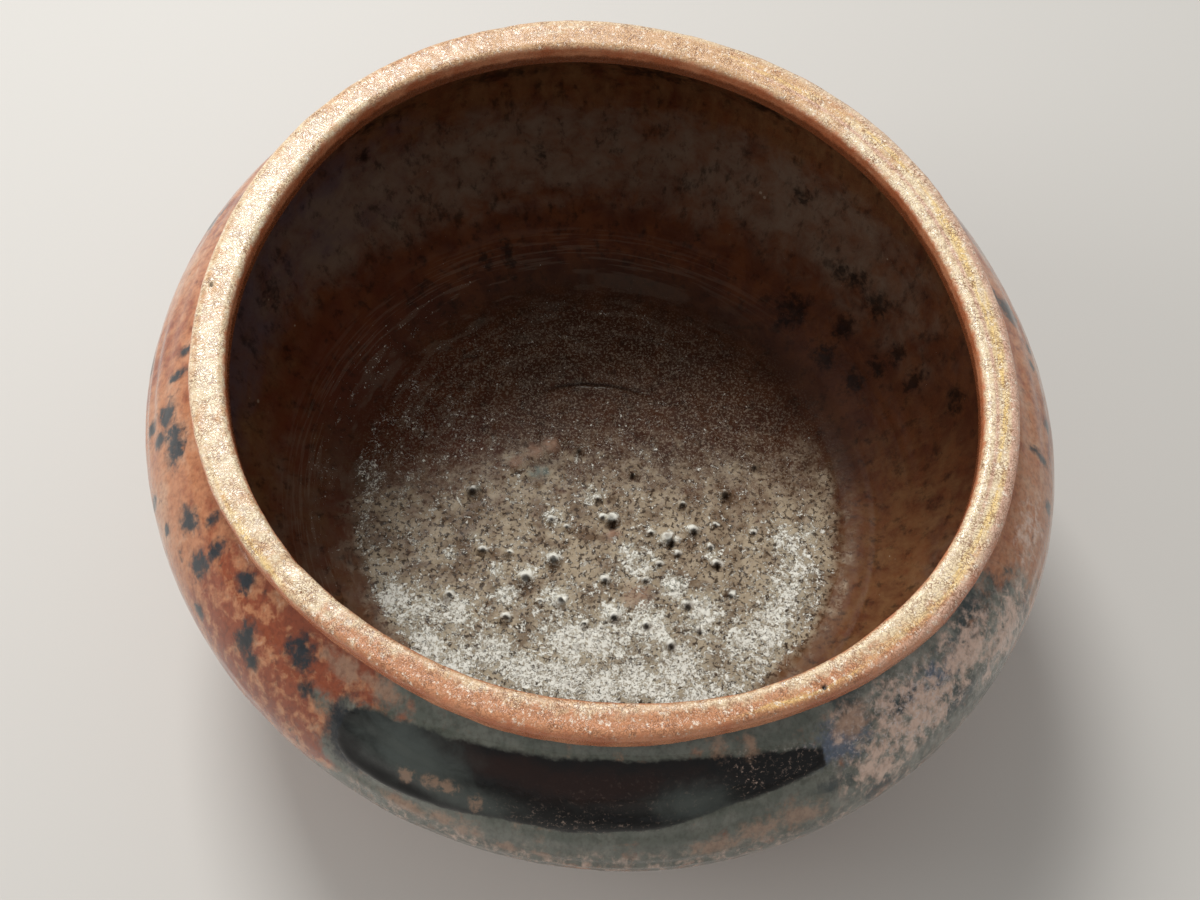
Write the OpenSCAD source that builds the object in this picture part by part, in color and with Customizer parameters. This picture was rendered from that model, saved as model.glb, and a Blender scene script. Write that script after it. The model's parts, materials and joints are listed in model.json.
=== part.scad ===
/* [Bowl] */
// Overall height, from the table to the top of the glazed lip
height = 78; // [70:0.5:100]
// Greatest diameter of the clay wall, at the belly
belly_d = 158; // [140:1:190]
// Height of the belly above the table
belly_h = 49; // [38:0.5:56]
// Thickness of the clay wall at the belly
wall_t = 5.4; // [4:0.1:9]
// Fullness of the curve under the belly, where 2 is an ellipse
fullness = 1.7; // [1.5:0.05:2.4]
// Turn of the shoulder from the belly up to the lip, in degrees
shoulder_turn = 40; // [25:1:60]

/* [Lip] */
// Diameter of the mouth, between the inner faces of the clay lip
mouth_d = 124; // [110:0.5:136]
// Radial width of the clay lip
lip_w = 4.4; // [3.6:0.1:8]
// Height of the clay lip above its seat on the wall
lip_h = 3.7; // [2.5:0.1:8]
// Radius of the lip's top edges
lip_round = 1.2; // [0.5:0.1:1.6]
// How far the lip stands out past the wall that carries it
lip_overhang = 2; // [0.8:0.1:2.2]

/* [Well and foot] */
// Diameter of the flat floor of the well
floor_d = 99; // [80:0.5:110]
// Thickness of the clay floor
floor_t = 6.2; // [4:0.1:10]
// Diameter of the flat underside, where the wall starts
base_d = 92; // [90:0.5:110]
// Outer diameter of the foot ring
foot_d = 86; // [60:0.5:90]
// Radial width of the foot ring
foot_w = 7; // [4:0.1:14]
// Height of the foot ring
foot_h = 5; // [4:0.1:9]
// Bevel on the two lower edges of the foot ring
foot_bevel = 0.8; // [0.2:0.1:1.5]

/* [Glaze] */
// Thickness of the glaze on the wall and the lip
glaze_t = 0.6; // [0.3:0.05:1]
// Thickness of the glaze pooled on the floor of the well
pool_t = 0.8; // [0.4:0.05:1.5]
// Height of bare clay on the outside, between the underside and the glaze
bare_h = 9; // [4:0.5:18]

/* [Black pour] */
// Width of the black pour, seen from the front
pour_w = 72; // [30:1:90]
// Height of the black pour, seen from the front
pour_h = 11; // [6:0.5:20]
// Gap between the lip's seat and the top of the black pour
pour_drop = 2.2; // [1:0.1:4]
// Sideways offset of the black pour from the middle of the front
pour_off = -2; // [-10:0.5:10]

/* [Hidden] */
$fn = 96;

// Steps along each curve of the profile
curve_steps = 18;
corner_steps = 6;
outline_steps = 36;

// Radii and heights that follow from the sizes above
belly_r = belly_d / 2;
well_r = belly_r - wall_t;
mouth_r = mouth_d / 2;
lip_r = mouth_r + lip_w;
neck_r = lip_r - lip_overhang;
seat_z = height - glaze_t - lip_h;
floor_r = floor_d / 2;
floor_z = foot_h + floor_t;
pool_z = floor_z + pool_t;
base_r = base_d / 2;
foot_r = foot_d / 2;
glaze_line = foot_h + bare_h;
pour_mid_z = seat_z - pour_drop - pour_h / 2;

// Finishes as they look from a step away
clay_colour = "#8c6248";
foot_colour = "#7d5742";
lip_colour = "#b98d63";
rim_glaze_colour = "#d9a878";
outer_glaze_colour = "#8e4a2c";
black_colour = "#15110f";
inner_glaze_colour = "#3a211b";
floor_glaze_colour = "#857c6a";

// Point on the curve below the belly, where u runs from 0 at the belly to 90 at the low end
function below_belly(rb, r_low, z_low, u) = [
    r_low + (rb - r_low) * pow(cos(u), 2 / fullness),
    belly_h - (belly_h - z_low) * pow(sin(u), 2 / fullness)
];

// Point on the shoulder, where t runs from 0 at the belly to shoulder_turn at the seat of the lip
function above_belly(rb, r_top, t) = [
    rb - (rb - r_top) * (1 - cos(t)) / (1 - cos(shoulder_turn)),
    belly_h + (seat_z - belly_h) * sin(t) / sin(shoulder_turn)
];

// Value of u at which the curve below the belly passes a height
function turn_at(z, z_low) = asin(pow((belly_h - z) / (belly_h - z_low), fullness / 2));

// Curve from height z_from up to height z_to, both at or below the belly
function low_curve(rb, r_low, z_low, z_from, z_to) =
    let (u_from = turn_at(z_from, z_low), u_to = turn_at(z_to, z_low))
    [for (i = [0 : curve_steps]) below_belly(rb, r_low, z_low, u_from + (u_to - u_from) * i / curve_steps)];

// Curve from just above the belly up to the seat of the lip
function high_curve(rb, r_top) =
    [for (i = [1 : curve_steps]) above_belly(rb, r_top, shoulder_turn * i / curve_steps)];

// Arc of a corner about a centre, from angle a to angle b
function corner(centre, r, a, b) =
    [for (i = [0 : corner_steps]) centre + r * [cos(a + (b - a) * i / corner_steps),
        sin(a + (b - a) * i / corner_steps)]];

// Points of a list in the opposite order, and all points of a list but the first
function backwards(points) = [for (i = [len(points) - 1 : -1 : 0]) points[i]];
function after_first(points) = [for (i = [1 : len(points) - 1]) points[i]];

// Outside of the clay above the glaze line, and the same curve with the glaze on it
clay_outside = concat(low_curve(belly_r, base_r, foot_h, glaze_line, belly_h), high_curve(belly_r, neck_r));
glazed_outside = concat(low_curve(belly_r + glaze_t, base_r + glaze_t, foot_h, glaze_line, belly_h),
    high_curve(belly_r + glaze_t, neck_r + glaze_t));

// Bare clay between the underside and the glaze line
bare_outside = low_curve(belly_r, base_r, foot_h, foot_h, glaze_line);

// Inside of the clay, and the same curve with the glaze on it
clay_inside = concat(low_curve(well_r, floor_r, floor_z, floor_z, belly_h), high_curve(well_r, mouth_r));
glazed_inside = concat(low_curve(well_r - glaze_t, floor_r, pool_z, pool_z, belly_h),
    high_curve(well_r - glaze_t, mouth_r - glaze_t));

// Top of the lip from its inner foot to its outer foot, grown outwards by a coat
function lip_outline(coat) =
    let (r = lip_round + coat, top = seat_z + lip_h + coat)
    concat(
        [[mouth_r - coat, seat_z]],
        corner([mouth_r - coat + r, top - r], r, 180, 90),
        corner([lip_r + coat - r, top - r], r, 90, 0),
        [[lip_r + coat, seat_z]]);

// Outline of the black pour seen from the front
function pour_outline() =
    [for (i = [0 : outline_steps - 1]) [pour_off + pour_w / 2 * cos(360 * i / outline_steps),
        pour_mid_z + pour_h / 2 * sin(360 * i / outline_steps)]];

// Coat of glaze on the outside, before the black pour is let into it
module outer_coat() {
    rotate_extrude() polygon(concat(clay_outside, backwards(glazed_outside)));
}

// Block that reaches from the axis out through the front wall, in the outline of the black pour
module pour_block() {
    rotate([90, 0, 0]) linear_extrude(height = belly_r + 2 * glaze_t) polygon(pour_outline());
}

// Thrown wall and floor
module clay_body() {
    color(clay_colour)
        rotate_extrude()
            polygon(concat([[0, foot_h]], bare_outside, after_first(clay_outside), backwards(clay_inside),
                [[0, floor_z]]));
}

// Ring under the floor that the bowl stands on
module foot_ring() {
    inner_r = foot_r - foot_w;
    color(foot_colour)
        rotate_extrude()
            polygon([
                [inner_r, foot_h],
                [inner_r, foot_bevel],
                [inner_r + foot_bevel, 0],
                [foot_r - foot_bevel, 0],
                [foot_r, foot_bevel],
                [foot_r, foot_h]
            ]);
}

// Roll of clay that makes the lip
module rim_coil() {
    color(lip_colour) rotate_extrude() polygon(lip_outline(0));
}

// Coat of glaze over the top and both sides of the lip
module rim_glaze() {
    color(rim_glaze_colour)
        rotate_extrude() polygon(concat(lip_outline(glaze_t), backwards(lip_outline(0))));
}

// Coat of glaze on the outside, open where the black pour lies
module outer_glaze() {
    color(outer_glaze_colour)
        difference() {
            outer_coat();
            pour_block();
        }
}

// Patch of black glaze on the front of the shoulder
module black_pour() {
    color(black_colour)
        intersection() {
            outer_coat();
            pour_block();
        }
}

// Coat of glaze on the inside wall
module inner_glaze() {
    color(inner_glaze_colour) rotate_extrude() polygon(concat(clay_inside, backwards(glazed_inside)));
}

// Pool of glaze on the floor of the well
module floor_glaze() {
    color(floor_glaze_colour) translate([0, 0, floor_z]) cylinder(r = floor_r, h = pool_t);
}

clay_body();
foot_ring();
rim_coil();
rim_glaze();
outer_glaze();
black_pour();
inner_glaze();
floor_glaze();
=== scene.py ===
"""Looks of a glazed stoneware waste water bowl for tea.

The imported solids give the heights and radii. Each clay member and each coat of glaze is made again
here as a closed mesh on the hand-thrown form, which is slightly oval and has a wavy lip.
"""

import json
import logging
import math
from dataclasses import dataclass
from enum import Enum
from functools import cache, partialmethod

import bmesh
import bpy
import numpy as np
from mathutils import Matrix, Vector


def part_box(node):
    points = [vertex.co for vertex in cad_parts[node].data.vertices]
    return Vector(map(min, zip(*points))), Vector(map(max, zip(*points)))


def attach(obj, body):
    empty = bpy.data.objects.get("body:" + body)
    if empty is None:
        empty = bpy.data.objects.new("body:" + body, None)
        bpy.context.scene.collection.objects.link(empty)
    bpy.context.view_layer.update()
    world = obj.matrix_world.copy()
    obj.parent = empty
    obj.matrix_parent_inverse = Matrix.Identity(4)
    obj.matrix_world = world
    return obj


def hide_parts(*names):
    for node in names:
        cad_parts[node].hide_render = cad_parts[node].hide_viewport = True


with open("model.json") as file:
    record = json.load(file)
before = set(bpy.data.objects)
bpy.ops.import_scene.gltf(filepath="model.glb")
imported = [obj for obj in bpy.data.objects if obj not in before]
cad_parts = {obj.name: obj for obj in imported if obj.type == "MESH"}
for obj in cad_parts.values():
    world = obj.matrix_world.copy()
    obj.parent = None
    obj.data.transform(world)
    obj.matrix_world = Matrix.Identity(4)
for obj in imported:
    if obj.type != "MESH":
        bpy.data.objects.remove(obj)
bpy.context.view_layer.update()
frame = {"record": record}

LOG = logging.getLogger("waste_water_bowl")
MM = 0.001
BODY = "root"

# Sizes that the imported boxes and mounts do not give
LIP_OVERHANG = 2 * MM
BELLY_HEIGHT = 49 * MM
BASE_RADIUS = 46 * MM

# Steps of the side views
CURVE_STEPS = 400
CORNER_STEPS = 12
FINE_ROWS = 900
BACK_ROWS = 14

# Finish of the meshes, and how steeply patches of glaze fade
PATCH_FALL = 0.7
SHARP_ANGLE = math.radians(60)
MERGE_GAP = 0.001 * MM

Array = np.ndarray
Face = tuple[int, ...]
Row = tuple[float, ...]
Place = tuple[float, float, float]
Colour = tuple[float, float, float, float]
Node = bpy.types.Node
Tree = bpy.types.NodeTree
Piece = bpy.types.Object
Material = bpy.types.Material
Socket = bpy.types.NodeSocket


class Mix(Enum):
    """Ways that two colours blend."""

    PLAIN = "MIX"
    DARKEN = "MULTIPLY"


def paint(code: str) -> Colour:
    """Turn a colour code such as #8e4a2c into the linear values that shaders take.

    Args:
        code: The colour as a screen shows it, in six hexadecimal digits after a hash sign.

    Returns:
        Linear red, green and blue, with an alpha of 1.
    """
    shown = [int(code[start:start + 2], 16) / 255 for start in (1, 3, 5)]
    linear = [value / 12.92 if value <= 0.04045 else ((value + 0.055) / 1.055) ** 2.4 for value in shown]
    return (*linear, 1.0)


def ease(values: Array, low: float, high: float) -> Array:
    """Rise smoothly from 0 at low to 1 at high.

    Args:
        values: The values to ease.
        low: The value that gives 0.
        high: The value that gives 1, which may be under low.

    Returns:
        The eased values, from 0 to 1.
    """
    share = np.clip((values - low) / (high - low), 0.0, 1.0)
    return share * share * (3.0 - 2.0 * share)


def bell(values: Array, middle: float, width: float) -> Array:
    """Rise to 1 at a middle value and fall away on both sides.

    Args:
        values: The values.
        middle: The value that gives 1.
        width: How far from the middle the result is about a third.

    Returns:
        Values from 0 to 1.
    """
    return np.exp(-((values - middle) / width) ** 2)


def apart(turn: Array, azimuth: float) -> Array:
    """Give the signed angle from an azimuth to each turn, the short way round.

    Args:
        turn: Angles round the bowl's axis, in radians.
        azimuth: The angle to measure from, in degrees.

    Returns:
        Angles in degrees, from -180 to 180.
    """
    return (np.degrees(turn) - azimuth + 180.0) % 360.0 - 180.0


def even_line(line: Array, count: int) -> Array:
    """Place points at even steps along a line.

    Args:
        line: Radius and height of each point of the line.
        count: How many points to place.

    Returns:
        The new points, with both ends kept.
    """
    along = np.append(0.0, np.cumsum(np.hypot(*np.diff(line, axis=0).T)))
    wanted = np.linspace(0.0, along[-1], count)
    return np.stack([np.interp(wanted, along, values) for values in line.T], axis=-1)


def corner(centre: tuple[float, float], radius: float, start: float, end: float) -> Array:
    """Place points on the arc of a rounded corner.

    Args:
        centre: Radius and height of the arc's centre.
        radius: The arc's own radius.
        start: Angle of its first point, in degrees.
        end: Angle of its last point, in degrees.

    Returns:
        Radius and height of each point.
    """
    angle = np.radians(np.linspace(start, end, CORNER_STEPS))
    return np.stack([centre[0] + radius * np.cos(angle), centre[1] + radius * np.sin(angle)], axis=-1)


@dataclass(frozen=True)
class WallCurve:
    """Side view of a wall: a fuller ellipse below the belly, and an arc above it.

    Attributes:
        belly: Radius and height of the belly.
        top: Radius and height of the upper end.
        low: Radius and height of the lower end.
        fullness: Power of the lower curve, where 2 is an ellipse.
        turn: Turn of the upper arc, in radians.
    """

    belly: tuple[float, float]
    top: tuple[float, float]
    low: tuple[float, float]
    fullness: float = 1.7
    turn: float = math.radians(40)

    def points(self, count: int, from_z: float = 0.0) -> Array:
        """Place points along the wall, from its lower end up.

        Args:
            count: How many points to place.
            from_z: Height at which the line starts.

        Returns:
            Radius and height of each point.
        """
        power = 2.0 / self.fullness
        fall = np.linspace(math.pi / 2, 0.0, CURVE_STEPS)
        rise = np.linspace(0.0, self.turn, CURVE_STEPS)[1:]
        lean = (1 - np.cos(rise)) / (1 - math.cos(self.turn))
        low_r = self.low[0] + (self.belly[0] - self.low[0]) * np.abs(np.cos(fall)) ** power
        low_z = self.belly[1] - (self.belly[1] - self.low[1]) * np.sin(fall) ** power
        high_r = self.belly[0] - (self.belly[0] - self.top[0]) * lean
        high_z = self.belly[1] + (self.top[1] - self.belly[1]) * np.sin(rise) / math.sin(self.turn)
        line = np.stack([np.append(low_r, high_r), np.append(low_z, high_z)], axis=-1)
        return even_line(line[line[:, 1] >= from_z], count)


@dataclass(frozen=True)
class BowlSizes:
    """Heights and radii of the bowl, in metres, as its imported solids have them.

    Attributes:
        lip_top: Height of the lip.
        lip_out: Radius of the lip's outer edge.
        lip_in: Radius of the lip's inner edge.
        seat: Height that the lip starts at.
        belly: Largest radius of the outside.
        well: Largest radius of the inside.
        floor_r: Radius of the well's floor.
        floor_z: Height of the well's floor.
        pool: Thickness of the glaze on the floor.
        glaze: Thickness of the glaze elsewhere.
        glaze_line: Height that the outside's glaze ends at.
        foot_out: Outer radius of the foot ring.
        foot_in: Inner radius of the foot ring.
        foot_h: Height of the foot ring.
    """

    lip_top: float
    lip_out: float
    lip_in: float
    seat: float
    belly: float
    well: float
    floor_r: float
    floor_z: float
    pool: float
    glaze: float
    glaze_line: float
    foot_out: float
    foot_in: float
    foot_h: float

    @classmethod
    def from_frame(cls) -> "BowlSizes":
        """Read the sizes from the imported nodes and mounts.

        Returns:
            The sizes.
        """
        middle = {mount["name"]: mount["pos_m"][0] for mount in frame["record"]["mounts"]}
        low, high, wide = {}, {}, {}
        for node in ("rim_glaze", "rim_coil", "outer_glaze", "inner_glaze", "floor_glaze", "foot_ring"):
            box_low, box_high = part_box(node)
            low[node] = box_low.z
            high[node] = box_high.z
            wide[node] = max(box_high.x, box_high.y)
        glaze = high["rim_glaze"] - high["rim_coil"]
        return cls(
            lip_top=high["rim_glaze"],
            lip_out=wide["rim_glaze"],
            lip_in=2 * middle["lip_top"] - wide["rim_glaze"],
            seat=low["rim_coil"],
            belly=wide["outer_glaze"],
            well=wide["inner_glaze"] - glaze,
            floor_r=wide["floor_glaze"],
            floor_z=high["floor_glaze"],
            pool=high["floor_glaze"] - low["floor_glaze"],
            glaze=glaze,
            glaze_line=low["outer_glaze"],
            foot_out=wide["foot_ring"],
            foot_in=2 * middle["foot_rest"] - wide["foot_ring"],
            foot_h=high["foot_ring"],
        )

    def outside(self, coat: float) -> WallCurve:
        """Draw the side view of the outside.

        Args:
            coat: Thickness of the glaze on the clay.

        Returns:
            The curve.
        """
        out = coat - self.glaze
        top = self.lip_out - LIP_OVERHANG + out
        low = (BASE_RADIUS + coat, self.foot_h)
        return WallCurve((self.belly + out, BELLY_HEIGHT), (top, self.seat), low)

    def inside(self, depth: float, bed: float) -> WallCurve:
        """Draw the side view of the inside, at a depth behind the glaze's surface and down to a bed."""
        top = (self.lip_in + depth, self.seat)
        return WallCurve((self.well + depth, BELLY_HEIGHT), top, (self.floor_r, bed))

    def lip(self, inset: float) -> Array:
        """Draw the side view of the lip, from its outer foot over the top to its inner foot.

        Args:
            inset: How far the line lies inside the glazed lip.

        Returns:
            Radius and height along the line.
        """
        outer_soft = 1.5 * MM - 0.5 * inset
        inner_soft = 1.2 * MM - 0.5 * inset
        out = self.lip_out - inset
        inn = self.lip_in + inset
        top = self.lip_top - inset
        return np.concatenate([
            np.array([[out - 0.4 * MM, self.seat], [out, self.seat + 0.5 * MM]]),
            corner((out - outer_soft, top - outer_soft), outer_soft, 0, 90),
            corner((inn + inner_soft, top - inner_soft), inner_soft, 90, 180),
            np.array([[inn, self.seat]]),
        ])


@dataclass(frozen=True)
class HandThrown:
    """The bowl's departure from a true figure of revolution.

    Attributes:
        lip_in: Radius of the lip's inner edge, in metres.
        lip_out: Radius of the lip's outer edge, in metres.
        oval_cos: Share of the radius that the oval adds along X and takes along Y.
        oval_sin: Share of the radius that the oval adds along the diagonal.
        wave_from: Height where the lip's waves start, in metres.
        wave_to: Height from which the waves are full, in metres.
        soften: How far the waves are smoothed round the lip, in degrees.
        lip: Places that the waves go through, each with its azimuth in degrees, and with how far the inner
            edge and the outer edge lie outside their true rings there, in millimetres.
    """

    lip_in: float
    lip_out: float
    oval_cos: float = 0.010
    oval_sin: float = -0.024
    wave_from: float = 48 * MM
    wave_to: float = 74 * MM
    soften: float = 5.0
    lip: tuple[Row, ...] = (
        (15, -1.6, -0.9), (42, -1.2, 0.4), (75, -0.5, 0.6), (100, -0.2, 1.1), (128, -0.2, 0.2),
        (155, -1.8, -0.9), (175, -1.2, -0.9), (200, 0.1, 0.4), (219, 0.7, 0.1), (240, 0.0, -0.8),
        (258, -0.1, 0.0), (272, -0.6, 0.0), (288, 0.3, -0.7), (303, 0.8, 0.1), (320, 1.0, 1.6),
        (336, 1.0, 1.2), (354, -0.3, -0.1),
    )

    def sway(self, turn: Array, across: Array) -> Array:
        """Give how far the lip's waves move points outwards.

        Args:
            turn: Angles round the axis, in radians.
            across: Share of the way from the lip's inner edge to its outer edge.

        Returns:
            Distances in metres.
        """
        degrees = np.arange(360.0)
        azimuths, *edges = zip(*self.lip)
        kernel = np.exp(-0.5 * (apart(np.radians(degrees), 0.0) / self.soften) ** 2)
        kernel = np.fft.fft(kernel / kernel.sum())
        moves = []
        for values in edges:
            line = np.interp(degrees, azimuths, values, period=360.0)
            smooth = np.real(np.fft.ifft(np.fft.fft(line) * kernel))
            moves.append(np.interp(np.degrees(turn), degrees, smooth, period=360.0))
        inner, outer = moves
        return (inner + (outer - inner) * across) * MM

    def place(self, turn: Array, radius: Array, height: Array) -> Array:
        """Move points of a true figure of revolution to the thrown form.

        Args:
            turn: Angles round the axis, in radians.
            radius: Distances from the axis, in metres.
            height: Heights above the table, in metres.

        Returns:
            The places as an array whose last axis is x, y, z.
        """
        oval = 1.0 + self.oval_cos * np.cos(2 * turn) + self.oval_sin * np.sin(2 * turn)
        share = ease(height, self.wave_from, self.wave_to)
        across = np.clip((radius - self.lip_in) / (self.lip_out - self.lip_in), 0.0, 1.0)
        r = (radius + share * self.sway(turn, across)) * oval
        return np.stack([r * np.cos(turn), r * np.sin(turn), height], axis=-1)


@dataclass
class Shell:
    """Closed mesh under construction, with the turn and height of every point.

    Attributes:
        points: Places of the vertices.
        faces: Vertex numbers of each face.
        turn: Angle of each vertex round the axis.
        radius: Distance of each vertex from the axis, before the form is thrown.
        height: Height of each vertex, before the form is thrown.
        relief: Share of the surface relief that each vertex takes.
        fields: Named values of each vertex that the finish reads.
    """

    points: Array
    faces: list[Face]
    turn: Array
    radius: Array
    height: Array
    relief: Array
    fields: dict[str, Array]

    def sector(self, start: float, end: float, soft: float) -> Array:
        """Give 1 to points between two azimuths and 0 to the rest, with soft edges, all in degrees."""
        half = (end - start) / 2
        return ease(-np.abs(apart(self.turn, start + half)), -half - soft, -half + soft)

    def patches(self, *rows: Row) -> Array:
        """Lay soft patches on the shell.

        Args:
            *rows: The patches, each with its azimuth in degrees, its height in millimetres, half its width
                in degrees, half its height in millimetres and, where that is not 1, its strength.

        Returns:
            A value for each point, the largest where patches overlap.
        """
        value = np.zeros_like(self.turn)
        for azimuth, height, wide, tall, *rest in rows:
            strength = rest[0] if rest else 1.0
            reach = (apart(self.turn, azimuth) / wide) ** 2 + ((self.height / MM - height) / tall) ** 2
            value = np.maximum(value, strength * np.exp(-PATCH_FALL * reach))
        return value

    def mesh_object(self, name: str) -> Piece:
        """Make the mesh and its object.

        Args:
            name: Name of the piece.

        Returns:
            The object, linked to the scene.
        """
        mesh = bpy.data.meshes.new(name)
        mesh.from_pydata(self.points.reshape(-1, 3).tolist(), [], self.faces)
        for field, values in {"relief": self.relief, "turn": self.turn, **self.fields}.items():
            layer = mesh.attributes.new(field, "FLOAT", "POINT")
            layer.data.foreach_set("value", np.ascontiguousarray(values, dtype=np.float32))
        mesh.update()
        piece = bpy.data.objects.new(name, mesh)
        bpy.context.scene.collection.objects.link(piece)
        return piece


def grid_faces(rows: int, columns: int, first: int, wrap: bool, flip: bool) -> list[Face]:
    """List the faces of a grid of vertices.

    Args:
        rows: How many rows the grid has.
        columns: How many columns the grid has.
        first: Number of the grid's first vertex.
        wrap: Whether the last column joins the first.
        flip: Whether the faces look the other way.

    Returns:
        The faces, four vertices each.
    """
    i, j = np.meshgrid(np.arange(rows - 1), np.arange(columns if wrap else columns - 1), indexing="ij")
    near = first + i * columns + j
    side = first + i * columns + (j + 1) % columns
    quads = np.stack([near, side, side + columns, near + columns], axis=-1).reshape(-1, 4)
    if flip:
        quads = quads[:, ::-1]
    return [tuple(quad) for quad in quads.tolist()]


def strip_faces(first: list[int], second: list[int]) -> list[Face]:
    """List the faces between two rows of vertices, seen with the first row's start at the left.

    Args:
        first: Vertex numbers of one row.
        second: Vertex numbers of the other row, as many as in the first.

    Returns:
        The faces, four vertices each.
    """
    return [(first[k + 1], first[k], second[k], second[k + 1]) for k in range(len(first) - 1)]


@dataclass(frozen=True)
class Wheel:
    """Makes closed shells on the thrown form, as a potter's wheel does.

    Attributes:
        form: The bowl's departure from a true figure of revolution.
    """

    form: HandThrown

    def shell(self, skin: Array, back: Array, columns: int, fade: int = 3,
              span: tuple[float, float] | None = None) -> Shell:
        """Turn two side views into a closed shell.

        Args:
            skin: Radius and height along the side that shows, which lies to the right of its direction.
            back: Radius and height along the hidden side, in the same direction.
            columns: How many columns of faces go round.
            fade: How many rows at each end lose their relief.
            span: First and last azimuth in degrees, or None to go all the way round.

        Returns:
            The shell.
        """
        wrap = span is None
        if wrap:
            turn = np.linspace(0.0, 2 * math.pi, columns, endpoint=False)
        else:
            turn = np.radians(np.linspace(*span, columns))
        line = np.concatenate([skin, back])
        turns = np.broadcast_to(turn, (len(line), columns))
        radii = np.broadcast_to(line[:, :1], turns.shape)
        heights = np.broadcast_to(line[:, 1:], turns.shape)
        rows = len(skin)
        offset = rows * columns
        faces = grid_faces(rows, columns, 0, wrap, False)
        faces += grid_faces(len(back), columns, offset, wrap, True)
        ring = list(range(columns)) + ([0] if wrap else [])
        last = (rows - 1) * columns
        back_last = offset + (len(back) - 1) * columns
        faces += strip_faces(ring, [offset + k for k in ring])
        faces += strip_faces([back_last + k for k in ring], [last + k for k in ring])
        if not wrap:
            left = [row * columns for row in range(rows)]
            right = [row * columns + columns - 1 for row in range(rows)]
            faces += strip_faces([offset + k for k in left], left)
            faces += strip_faces(right, [offset + k for k in right])
        step = np.arange(rows)
        share = np.ones(rows)
        if fade:
            share = ease(np.minimum(step, rows - 1 - step), 0.0, fade)
        relief = np.append(np.repeat(share, columns), np.zeros(len(back) * columns))
        points = self.form.place(turns, radii, heights)
        return Shell(points, faces, turns.ravel(), radii.ravel(), heights.ravel(), relief, {})

    def disc(self, radius: float, top: float, thickness: float, cells: int) -> Shell:
        """Make a closed disc with an even grid of faces on its top.

        Args:
            radius: The disc's radius.
            top: Height of its upper face.
            thickness: How thick it is.
            cells: How many faces lie along each side of the grid.

        Returns:
            The shell.
        """
        line = np.linspace(-1.0, 1.0, cells + 1)
        across, along = np.meshgrid(line, line)
        wide = np.abs(across) >= np.abs(along)
        reach = np.where(wide, across, along)
        bend = np.where(wide, along, across) / np.where(reach == 0.0, 1.0, reach) * math.pi / 4
        turn = np.where(wide, bend, math.pi / 2 - bend)
        turns = np.arctan2(reach * np.sin(turn), reach * np.cos(turn)).ravel()
        radii = np.abs(reach).ravel() * radius
        count = len(turns)
        number = np.arange(count).reshape(cells + 1, cells + 1)
        edge = np.concatenate([number[0, :-1], number[:-1, -1], number[-1, :0:-1], number[:0:-1, 0]])
        rim = edge.tolist()
        low = list(range(count, count + len(rim)))
        centre = count + len(rim)
        faces = grid_faces(cells + 1, cells + 1, 0, False, False)
        faces += strip_faces(rim + rim[:1], low + low[:1])
        faces += [(low[(k + 1) % len(low)], low[k], centre) for k in range(len(low))]
        turns = np.concatenate([turns, turns[edge], [0.0]])
        radii = np.concatenate([radii, radii[edge], [0.0]])
        upper = np.arange(len(turns)) < count
        height = np.where(upper, top, top - thickness)
        points = self.form.place(turns, radii, height)
        return Shell(points, faces, turns, radii, height, upper.astype(float), {})


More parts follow.
